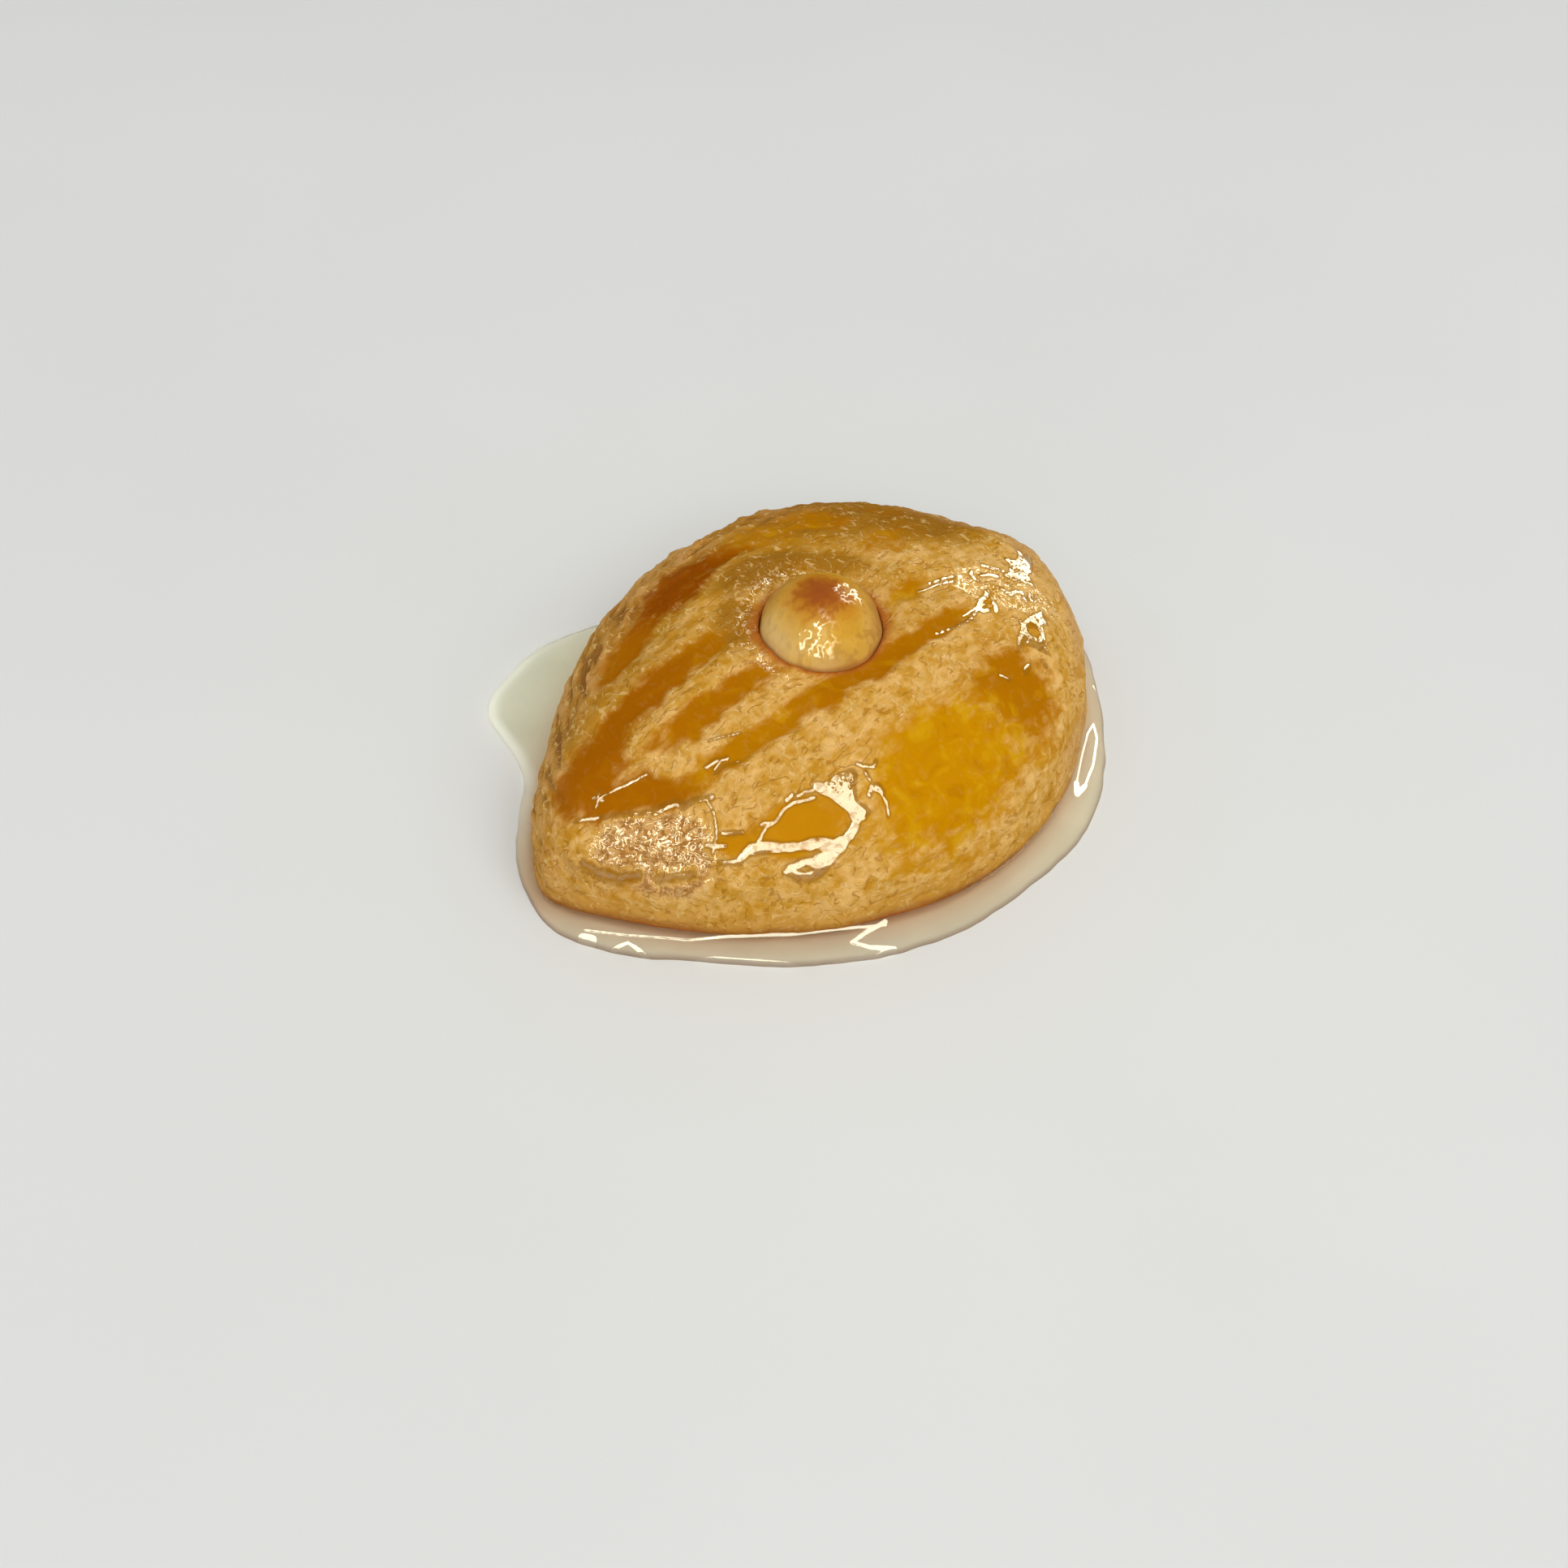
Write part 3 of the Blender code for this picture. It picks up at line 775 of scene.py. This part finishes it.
def shade_round_nut(points):
    """The ring of painted shade at the nut's edge, where it sits in the crust, wider on two sides."""
    away = points[..., :2] - np.array(NUT_PLACE[:2])
    angle = np.arctan2(away[..., 1], away[..., 0])
    wider = 1 + swells(angle, SHADED_RING_SWELLS)
    from_middle = np.hypot(away[..., 0], away[..., 1])
    return smooth_step(from_middle, SOCKET_RADIUS + SHADED_RING_WIDTH * wider, SOCKET_RADIUS)


def make_cake():
    """The cake's fine skin: socket, dome, side and flat underside."""
    smooth = np.concatenate([dome_rows(), tuck_rows()])
    level = smooth[..., 2]
    cover, tone = glaze_and_tone(smooth)
    film = wet_film(smooth)
    height, rough, dished = relief(smooth, cover, film)
    wrinkled, fold = on_sides(smooth, WRINKLED_SIDES), folds(smooth)
    # The furrows are cut in and painted darker, as painted shade; the crests are raised and painted paler,
    # as painted light.
    furrows = wrinkled * smooth_step(fold, -0.05, -0.35)
    crests = wrinkled * smooth_step(fold, 0.0, 0.35)
    height = height + CREST_HEIGHT * crests - FURROW_DEPTH * furrows
    skin = smooth + ring_normals(smooth) * height[..., None]
    skin[..., 2] += hollow(smooth) * off_the_foot(level)
    socket = socket_rows()
    rows = np.concatenate([socket, skin])
    faces = ring_faces(len(rows), CAKE_COLUMNS)
    last = (len(rows) - 1) * CAKE_COLUMNS
    faces.append(tuple(range(CAKE_COLUMNS)))
    faces.append(tuple(last + column for column in reversed(range(CAKE_COLUMNS))))
    speckled = [patches_over(smooth, [(*place, 1)], 1.1, 0.8) for place in SPECKLED_PATCHES]
    on_the_skin = {
        # Painted shade round the nut.
        "crease": shade_round_nut(smooth),
        "speckled": np.maximum.reduce(speckled),
        # Baked browner, and painted shade and light.
        "browned_and_shaded": patches_over(smooth, BROWNED_AND_SHADED_PATCHES, 1.25, 0.45),
        # Painted shadow along the foot.
        "foot": smooth_step(level, FOOT_SHADOW_TOP, FOOT_SHADOW_TOP / 2),
        "skirt": smooth_step(level, SKIRT_TOP, SKIRT_TOP / 2),
        "wrinkled": wrinkled,
        "furrows": furrows,
        "crests": crests,
        "side": on_sides(smooth, SMOOTH_SIDES),
        "glaze": cover,
        "tone": tone,
        "rough": rough,
        "dished": dished,
        "film": film,
    }
    # The socket under the nut is painted in shade all over.
    in_the_socket = {"crease": 1.0, "film": -1.0}
    values = {
        name: np.concatenate([np.full(socket.shape[:-1], in_the_socket.get(name, 0.0)), value])
        for name, value in on_the_skin.items()
    }
    return make_mesh("cake_crust", rows.reshape(-1, 3), faces, values)


def facing_spots(facing, spots):
    """How near each direction is to one of the spots, 1 being right at it."""
    best = np.zeros(len(facing))
    for across, along, up, reach in spots:
        towards = Vector((across, along, up)).normalized()
        best = np.maximum(best, bump(np.array([way.angle(towards) for way in facing]), reach))
    return best


def make_nut():
    """The hazelnut, with its point, its furrows and fine creases that run from tip to tip."""
    from_tip = np.linspace(0, math.pi, NUT_ROWS)[1:-1, None]
    around = directions(NUT_COLUMNS)
    furrow = np.cos(NUT_FURROWS * around) * np.sin(from_tip) ** 2
    point = NUT_POINT * bump(from_tip, NUT_POINT_SPREAD)
    radius = NUT_DIAMETER / 2 * (1 + point - NUT_FURROW_DEPTH * (1 + furrow))
    out = ball(from_tip, around)
    stretched = out * np.array(NUT_CREASE_STRETCH)
    large, small = NUT_CREASE_SIZES
    creases = noise_at(stretched, large, 4.2) + 0.6 * noise_at(stretched, small, 7.7)
    radius = radius + NUT_CREASE_HEIGHT * creases * np.sin(from_tip)
    rows = out * radius[..., None]
    tip = Vector((0, 0, NUT_DIAMETER / 2 * (1 + NUT_POINT - NUT_FURROW_DEPTH)))
    points = [*rows.reshape(-1, 3), np.array(tip), -np.array(tip) * NUT_BLUNT_END]
    faces = ring_faces(len(rows), NUT_COLUMNS)
    top, bottom = len(points) - 2, len(points) - 1
    last = (len(rows) - 1) * NUT_COLUMNS
    for column in range(NUT_COLUMNS):
        after = (column + 1) % NUT_COLUMNS
        faces.append((top, column, after))
        faces.append((bottom, last + after, last + column))
    turned = Matrix.Rotation(NUT_LEANS_TOWARDS, 4, "Z") @ Matrix.Rotation(NUT_LEAN, 4, "Y")
    place = Matrix.Translation(NUT_PLACE) @ turned
    placed = [place @ Vector(point) for point in points]
    facing = [(point - NUT_PLACE).normalized() for point in placed]
    levels = np.array([point.z for point in placed])
    values = {
        "from_roast": np.array([way.angle(NUT_ROAST) for way in facing]),
        "crease": np.concatenate([creases.ravel(), [0, 0]]),
        "shine": facing_spots(facing, NUT_SHINES),
        # Painted light and painted shade on the kernel's sides.
        "painted_light": facing_spots(facing, NUT_PAINTED_LIGHT),
        "painted_shade": facing_spots(facing, NUT_PAINTED_SHADE),
        # Painted shade where the nut sits in the crust.
        "contact_shade": smooth_step(levels, CONTACT_TOP, CONTACT_LEVEL),
    }
    return make_mesh("hazelnut_kernel", placed, faces, values)


def pool_reach(angle):
    """How far the syrup runs past the cake's outline."""
    reach = POOL_REACH + swells(angle, POOL_RUNS)
    rim = outline(angle)
    flat = np.stack([rim[..., 0], rim[..., 1], np.zeros_like(angle)], axis=-1)
    return reach + sum(height * noise_at(flat, size, shift) for height, size, shift in POOL_WAVES)


def make_pool():
    """The syrup: it creeps up the cake's side, lies level, and ends in a rounded edge."""
    angle = directions(POOL_COLUMNS)
    rim, out = outline(angle), outward(angle)
    reach = pool_reach(angle)[:, None]
    quarter_turn = np.linspace(0, math.pi / 2, POOL_ROUND_STEPS)[1:]
    level_shares = np.linspace(0, 1 - POOL_ROUND_SHARE, POOL_FLAT_STEPS)
    shares = np.concatenate([level_shares, 1 - POOL_ROUND_SHARE * np.cos(quarter_turn)])
    away = POOL_INNER_EDGE + (reach - POOL_INNER_EDGE) * shares[None, :]
    top = rim[:, None, :] + out[:, None, :] * away[..., None]
    flat = np.concatenate([top, np.zeros_like(away)[..., None]], axis=-1)
    from_cake, from_edge = away - POOL_INNER_EDGE, reach - away
    to_edge = np.clip(from_edge / POOL_EDGE, 0, 1)
    level = POOL_DEPTH * np.sqrt(1 - (1 - to_edge) ** 2)
    level = level + MENISCUS_HEIGHT * np.exp(-from_cake / MENISCUS_REACH)
    level = level + POOL_RIPPLE_HEIGHT * noise_at(flat, POOL_RIPPLE_SIZE, 9.9) * to_edge
    gleam = np.full(away.shape, -1.0)
    for line, half_width in POOL_GLEAMS:
        gleam = np.maximum(gleam, half_width - distance_to_line(top[..., 0], top[..., 1], line))
    level = level + GLEAM_HEIGHT * smooth_step(gleam, -0.5, 0.4)
    flat[..., 2] = level
    under = slice(None, None, -6)
    underside = np.concatenate([top[:, under], np.zeros_like(away)[:, under, None]], axis=-1)
    rows = np.concatenate([flat, underside], axis=1).transpose(1, 0, 2)
    in_lobe = bump(degrees_apart(angle, LOBE_ANGLE), LOBE_SPREAD)[:, None]
    # Browner near the cake: partly crumb in the syrup, partly painted shade and reflection of the cake.
    near = np.exp(-from_cake / NEAR_CAKE)
    thin = in_lobe * smooth_step(from_edge, LOBE_FADE, 0)
    none = np.zeros_like(away)
    above_and_under = {
        # Painted shade along the pool's outer edge.
        "rim": (bump(from_edge, POOL_EDGE_SHADE) * (1 - in_lobe), none),
        "lean": (smooth_step(top[..., 0], LEAN_ENDS, 0) * smooth_step(gleam, -0.05, 0.05), none),
        "near": (near, near),
        "thin": (thin, thin),
        "under": (none, none + 1),
        "gleam": (gleam, none - 1),
    }
    values = {
        name: np.concatenate([above, below[:, under]], axis=1).T
        for name, (above, below) in above_and_under.items()
    }
    faces = ring_faces(len(rows) + 1, POOL_COLUMNS)
    total = len(rows) * POOL_COLUMNS
    closed = [tuple(corner % total for corner in face) for face in faces]
    return make_mesh("syrup_pool", rows.reshape(-1, 3), closed, values)


# ---------------------------------------------------------------- materials


class Shader:
    """A material under construction, with short calls for its nodes."""

    def __init__(self, name):
        self.material = bpy.data.materials.new(name)
        self.material.use_nodes = True
        self.tree = self.material.node_tree
        self.surface = self.tree.nodes["Principled BSDF"]

    def put(self, value, socket):
        """Links a node's output to a socket, or sets it to a number, a direction or a colour."""
        if isinstance(value, bpy.types.NodeSocket):
            self.tree.links.new(value, socket)
        elif socket.type == "RGBA":
            socket.default_value = (*value, 1)
        else:
            socket.default_value = value

    def node(self, kind, links, **settings):
        """Adds a node. links maps an input to an output socket or a value."""
        made = self.tree.nodes.new(kind)
        for name, value in settings.items():
            setattr(made, name, value)
        for name, value in links.items():
            self.put(value, made.inputs[name])
        return made

    def place(self, stretch=EVEN):
        """Object coordinates in millimetres, stretched."""
        coordinates = self.node("ShaderNodeTexCoord", {}).outputs["Object"]
        scale = tuple(part / MM for part in stretch)
        return self.node("ShaderNodeMapping", {"Vector": coordinates, "Scale": scale}).outputs["Vector"]

    def value(self, name):
        """What the mesh says at each point."""
        return self.node("ShaderNodeAttribute", {}, attribute_name=name).outputs["Fac"]

    def noise(self, place, scale, detail=2.0, distortion=0.0, roughness=0.5):
        """Smooth noise, mostly from 0.2 to 0.8."""
        links = {"Vector": place, "Scale": scale, "Detail": detail}
        links.update({"Distortion": distortion, "Roughness": roughness})
        return self.node("ShaderNodeTexNoise", links).outputs["Fac"]

    def span(self, value, low, high, to_low=0.0, to_high=1.0):
        """Maps a value from one range to another, smoothly, and holds it there."""
        links = {"Value": value, "From Min": low, "From Max": high, "To Min": to_low, "To Max": to_high}
        return self.node("ShaderNodeMapRange", links, interpolation_type="SMOOTHSTEP").outputs["Result"]

    def math(self, operation, first, second=0.0):
        return self.node("ShaderNodeMath", {0: first, 1: second}, operation=operation).outputs["Value"]

    def add(self, first, second):
        return self.math("ADD", first, second)

    def minus(self, first, second):
        return self.math("SUBTRACT", first, second)

    def times(self, first, second):
        return self.math("MULTIPLY", first, second)

    def larger(self, first, second):
        return self.math("MAXIMUM", first, second)

    def along_lines(self, value, far, near):
        """1 along the wandering lines where a noise is at its middle, and 0 from far on."""
        return self.span(self.math("ABSOLUTE", self.minus(value, 0.5)), far, near)

    def mix(self, factor, first, second):
        """Mixes two colours."""
        return self.node("ShaderNodeMix", {0: factor, 6: first, 7: second}, data_type="RGBA").outputs[2]

    def tint_over(self, color, tints, masks):
        """Tints a colour where each mask lies, one over the other: stains, and painted shade and light."""
        for name, share, tint in tints:
            color = self.mix(self.times(masks[name], share), color, tint)
        return color

    def ramp(self, value, stops):
        """Colours along a value: places from 0 to 1, each with its colour."""
        made = self.node("ShaderNodeValToRGB", {"Fac": value})
        stops = [(position, (*color, 1)) for position, color in stops]
        elements = made.color_ramp.elements
        elements[0].position, elements[0].color = stops[0]
        elements[1].position, elements[1].color = stops[-1]
        for position, color in stops[1:-1]:
            elements.new(position).color = color
        return made.outputs["Color"]

    def bump(self, height, distance, strength):
        """Fine relief from a height of 0 to 1 that stands for that distance in metres."""
        links = {"Height": height, "Distance": distance, "Strength": strength}
        return self.node("ShaderNodeBump", links).outputs["Normal"]

    def set(self, **values):
        """Sets or links the surface's own sockets. Underscores stand for spaces."""
        for name, value in values.items():
            self.put(value, self.surface.inputs[name.replace("_", " ")])


def crumb_color(shader, noises):
    """The bare crumb: darker in its dips, for syrup pooled there and as painted shade, and darker still
    where it is baked browner and where shade is painted on it.
    """
    # Crumb baked browner, and painted shade towards the back and left and round the nut.
    browned_and_shaded = shader.value("browned_and_shaded")
    mottling = shader.add(shader.times(noises["streaks"], 0.6), shader.times(noises["patches"], 0.6))
    standing = shader.add(shader.add(noises["lumps"], mottling), shader.times(noises["grit"], 0.3))
    height = shader.minus(standing, shader.times(browned_and_shaded, 0.13))
    color = shader.ramp(shader.span(height, 0.92, 1.58), CRUMB_COLORS)
    return shader.mix(shader.times(browned_and_shaded, 0.38), color, BROWNED_AND_SHADED_COLOR)


def amber_color(shader, noises):
    """The glaze, which is cloudy where it is light."""
    tone = shader.value("tone")
    lightness = shader.span(tone, 0.75, 0.15, 0.10, 1.0)
    bright = shader.times(shader.span(noises["clouds"], 0.48, 0.70, 0.0, 0.55), lightness)
    dark = shader.times(shader.span(noises["clouds"], 0.46, 0.30, 0.0, 0.45), lightness)
    color = shader.mix(bright, shader.ramp(tone, AMBER_COLORS), BRIGHT_AMBER)
    return shader.mix(dark, color, DARK_AMBER)


def crust_coat(shader, noises, open_crumb):
    """How strongly the coat mirrors: on the film but for its holes, and in curls on rough crumb."""
    few_holes = shader.span(noises["holes"], 0.64, 0.72, 0.0, 0.5)
    many_holes = shader.times(shader.span(noises["holes"], 0.52, 0.58, 0.0, 1.2), shader.value("speckled"))
    whole = shader.minus(shader.value("film"), shader.larger(few_holes, many_holes))
    wet = shader.span(whole, -0.04, 0.05)
    glazed = shader.times(wet, shader.span(noises["thin_film"], 0.34, 0.52, 0.55, 1.0))
    dewy = shader.times(shader.span(noises["breaks"], 0.46, 0.62, 0.0, 0.14), open_crumb)
    shiny = shader.larger(shader.span(shader.value("rough"), 0.012, 0.035), dewy)
    curls = shader.times(shiny, shader.along_lines(noises["curls"], 0.036, 0.014))
    return shader.larger(glazed, shader.times(curls, shader.minus(1.0, wet)))


def crust_material():
    """Golden crumb with short fibres and flecks, amber glaze over the bands, and wet film."""
    shader = Shader("baked_crust")
    noises = {
        name: shader.noise(shader.place(stretch), *shape)
        for name, (stretch, *shape) in CRUST_NOISES.items()
    }
    ragged = shader.span(shader.add(noises["lumps"], noises["streaks"]), 0.70, 1.30, 0.15, -0.15)
    cover = shader.span(shader.add(shader.value("glaze"), ragged), 0.12, 0.88)
    open_crumb = shader.minus(1.0, cover)
    bare = shader.span(open_crumb, 0.0, 1.0, 0.35, 1.0)
    breaks = noises["breaks"]
    dark_strokes = shader.times(
        shader.along_lines(noises["dark_lines"], 0.040, 0.012), shader.span(breaks, 0.50, 0.58)
    )
    pale_strokes = shader.times(
        shader.along_lines(noises["pale_lines"], 0.046, 0.014), shader.span(breaks, 0.50, 0.42)
    )
    strength = shader.add(shader.times(open_crumb, 0.52), 0.04)
    netted = shader.span(shader.value("rough"), 0.034, 0.050)
    # crease and foot are painted shade: round the nut where it sits, and along the foot.
    masks = {name: shader.value(name) for name in ("skirt", "side", "dished", "crease", "foot")}
    masks["wrinkled"] = shader.times(shader.value("wrinkled"), shader.span(open_crumb, 0.0, 1.0, 0.10, 0.60))
    # Painted shade in the furrows, painted light on the crests.
    masks["furrows"] = shader.times(shader.value("furrows"), bare)
    masks["crests"] = shader.times(shader.value("crests"), bare)
    masks["netted"] = netted
    masks["gaps"] = shader.times(shader.span(noises["grit"], 0.54, 0.45), netted)
    masks["dark_strokes"] = shader.times(dark_strokes, strength)
    masks["pale_strokes"] = shader.times(pale_strokes, strength)
    masks["specks"] = shader.times(shader.span(noises["specks"], 0.66, 0.74), open_crumb)
    # Painted shade along the edges of the wet film.
    masks["film_edge_shade"] = shader.span(shader.value("film"), -0.25, -0.06)
    color = shader.mix(cover, crumb_color(shader, noises), amber_color(shader, noises))

    calm = shader.larger(masks["side"], shader.times(masks["skirt"], 0.8))
    grainy = shader.times(open_crumb, shader.span(calm, 0.0, 0.8, 1.0, 0.3))
    strokes = shader.times(shader.minus(pale_strokes, dark_strokes), 0.5)
    texture = shader.times(shader.add(noises["grain"], strokes), grainy)
    shader.set(
        Base_Color=shader.tint_over(color, CRUST_STAINS_AND_PAINTED_SHADING, masks),
        Normal=shader.bump(texture, 0.15 * MM, 0.9),
        Coat_Normal=shader.bump(noises["waves"], 0.03 * MM, 0.5),
        Coat_Weight=crust_coat(shader, noises, open_crumb),
        Roughness=0.6,
        Specular_IOR_Level=0.0,
        Subsurface_Weight=0.15,
        Subsurface_Radius=(1.0, 0.45, 0.12),
        Subsurface_Scale=1.0 * MM,
        **COAT,
    )
    return shader.material


def nut_material():
    """Blanched and roasted: ivory gold with fine lines from the tip, red-brown at the tip."""
    shader = Shader("roasted_kernel")
    place = shader.place()
    crease = shader.value("crease")
    masks = {name: shader.value(name) for name in ("painted_light", "painted_shade", "contact_shade")}
    masks["creased"] = shader.span(crease, 0.0, 0.5)
    body = shader.ramp(shader.noise(place, 0.20, 1.5, 0.5), KERNEL_COLORS)
    body = shader.tint_over(body, KERNEL_STAINS_AND_PAINTED_SHADING, masks)
    wander = shader.span(crease, -0.8, 0.8, -0.10, 0.08)
    blotch = shader.span(shader.noise(place, 0.16, 0.5, 0.2), 0.3, 0.7, -0.12, 0.04)
    reach = shader.add(shader.add(shader.value("from_roast"), wander), blotch)
    roast = shader.ramp(shader.span(reach, -0.06, 0.84), ROAST_COLORS)
    color = shader.mix(shader.span(reach, 0.12, 1.08), roast, body)
    threads = shader.span(shader.math("ABSOLUTE", crease), 0.22, 0.08)
    squiggles = shader.times(threads, shader.span(shader.noise(place, 0.9, 1.5, 0.5), 0.40, 0.50))
    shines = shader.span(shader.value("shine"), 0.25, 0.75)
    shader.set(
        # Painted shade where the nut sits in the crust.
        Base_Color=shader.tint_over(color, [CONTACT_SHADE], masks),
        Normal=shader.bump(crease, 0.04 * MM, 0.7),
        Coat_Normal=shader.bump(crease, 0.03 * MM, 0.4),
        Coat_Weight=shader.times(shines, shader.larger(squiggles, 0.05)),
        Roughness=0.5,
        Specular_IOR_Level=0.0,
        Subsurface_Weight=0.20,
        Subsurface_Radius=(1.0, 0.5, 0.15),
        Subsurface_Scale=1.2 * MM,
        **COAT,
    )
    return shader.material


def syrup_material():
    """Clear syrup: pale where it runs free, and browner near the cake, partly where crumb clouds it and
    partly as painted shade and reflection of the cake.
    """
    shader = Shader("clear_syrup")
    place = shader.place()
    masks = {name: shader.value(name) for name, *_ in SYRUP_TINTS_AND_PAINTED_SHADE}
    color = shader.ramp(shader.noise(place, 0.25, 4, 0.5), SYRUP_COLORS)
    ripple = shader.bump(shader.noise(place, 0.35, 2), 0.05 * MM, 0.3)
    facing = shader.node("ShaderNodeNewGeometry", {}).outputs["Normal"]
    leaned = shader.node("ShaderNodeVectorMath", {0: facing, 1: GLEAM_LEAN}, operation="ADD").outputs[0]
    tilted = shader.node("ShaderNodeVectorMath", {0: leaned}, operation="NORMALIZE").outputs[0]
    links = {0: shader.value("lean"), 4: ripple, 5: tilted}
    shader.set(
        Base_Color=shader.tint_over(color, SYRUP_TINTS_AND_PAINTED_SHADE, masks),
        Transmission_Weight=1.0,
        IOR=1.07,
        Roughness=0.18,
        Normal=ripple,
        Coat_Weight=shader.span(shader.value("gleam"), -0.05, 0.05),
        Coat_Normal=shader.node("ShaderNodeMix", links, data_type="VECTOR").outputs[1],
        Coat_IOR=1.7,
        Coat_Roughness=0.03,
    )
    return shader.material


def floor_material():
    """Plain pale studio floor with the faintest mottling."""
    shader = Shader("pale_floor")
    tint = shader.span(shader.noise(shader.place(), 0.01, 3), 0.3, 0.7)
    shader.set(Base_Color=shader.mix(tint, *FLOOR_COLORS), Roughness=0.6, Specular_IOR_Level=0.0)
    return shader.material


def dress(piece, material, node_name):
    """Gives a piece its material, and lets it stand for its CAD node."""
    piece.data.materials.append(material)
    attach(piece, "root")
    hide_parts(node_name)


# ---------------------------------------------------------------- floor, light and camera


def make_floor():
    """A plain square, just under the cake."""
    turns = ((-1, -1), (1, -1), (1, 1), (-1, 1))
    corners = [(x * FLOOR_SIZE, y * FLOOR_SIZE, FLOOR_LEVEL) for x, y in turns]
    floor = make_mesh("floor", corners, [(0, 1, 2, 3)])
    floor.data.materials.append(floor_material())


def direction_of(azimuth, elevation):
    """The direction that is so many degrees round from +X and above the floor."""
    round_z, up = math.radians(azimuth), math.radians(elevation)
    return Vector((math.cos(up) * math.cos(round_z), math.cos(up) * math.sin(round_z), math.sin(up)))


def area_light(name, azimuth, elevation, away, size, brightness):
    """A flat light that faces the cake. Brightness 1 is that of a white floor in full light."""
    data = bpy.data.lights.new(name, "AREA")
    data.shape = "RECTANGLE"
    data.size, data.size_y = size
    data.energy = brightness * math.pi * size[0] * size[1]
    lamp = bpy.data.objects.new(name, data)
    lamp.location = direction_of(azimuth, elevation) * away
    lamp.rotation_euler = (-lamp.location).to_track_quat("-Z", "Y").to_euler()
    bpy.context.scene.collection.objects.link(lamp)
    return lamp


def make_lights():
    """Soft light from the sky and a softbox, and windows that show only as reflections."""
    world = bpy.data.worlds.new("studio")
    world.use_nodes = True
    sky = world.node_tree.nodes["Background"]
    sky.inputs["Color"].default_value = SKY_COLOR
    sky.inputs["Strength"].default_value = SKY_STRENGTH
    world.cycles_visibility.glossy = False
    bpy.context.scene.world = world
    softbox = area_light(*SOFTBOX)
    softbox.visible_glossy = False
    for name, azimuth, elevation, *size in WINDOWS:
        window = area_light(name, azimuth, elevation, WINDOW_DISTANCE, size, WINDOW_BRIGHTNESS)
        window.data.color = WINDOW_COLOR
        window.visible_diffuse = False
        window.visible_transmission = False


def make_camera():
    data = bpy.data.cameras.new("camera")
    data.lens = LENS_MM
    data.sensor_width = SENSOR_MM
    data.clip_start = 0.01
    camera = bpy.data.objects.new("camera", data)
    camera.location = CAMERA_PLACE
    level = (CAMERA_LOOKS_AT - CAMERA_PLACE).to_track_quat("-Z", "Y")
    rolled = level.to_matrix() @ Matrix.Rotation(CAMERA_ROLL, 3, "Z")
    camera.rotation_euler = rolled.to_euler()
    bpy.context.scene.collection.objects.link(camera)
    bpy.context.scene.camera = camera


dress(make_cake(), crust_material(), "cake")
dress(make_nut(), nut_material(), "hazelnut")
dress(make_pool(), syrup_material(), "syrup")
make_floor()
make_lights()
make_camera()
bpy.context.scene.view_settings.view_transform = "Standard"
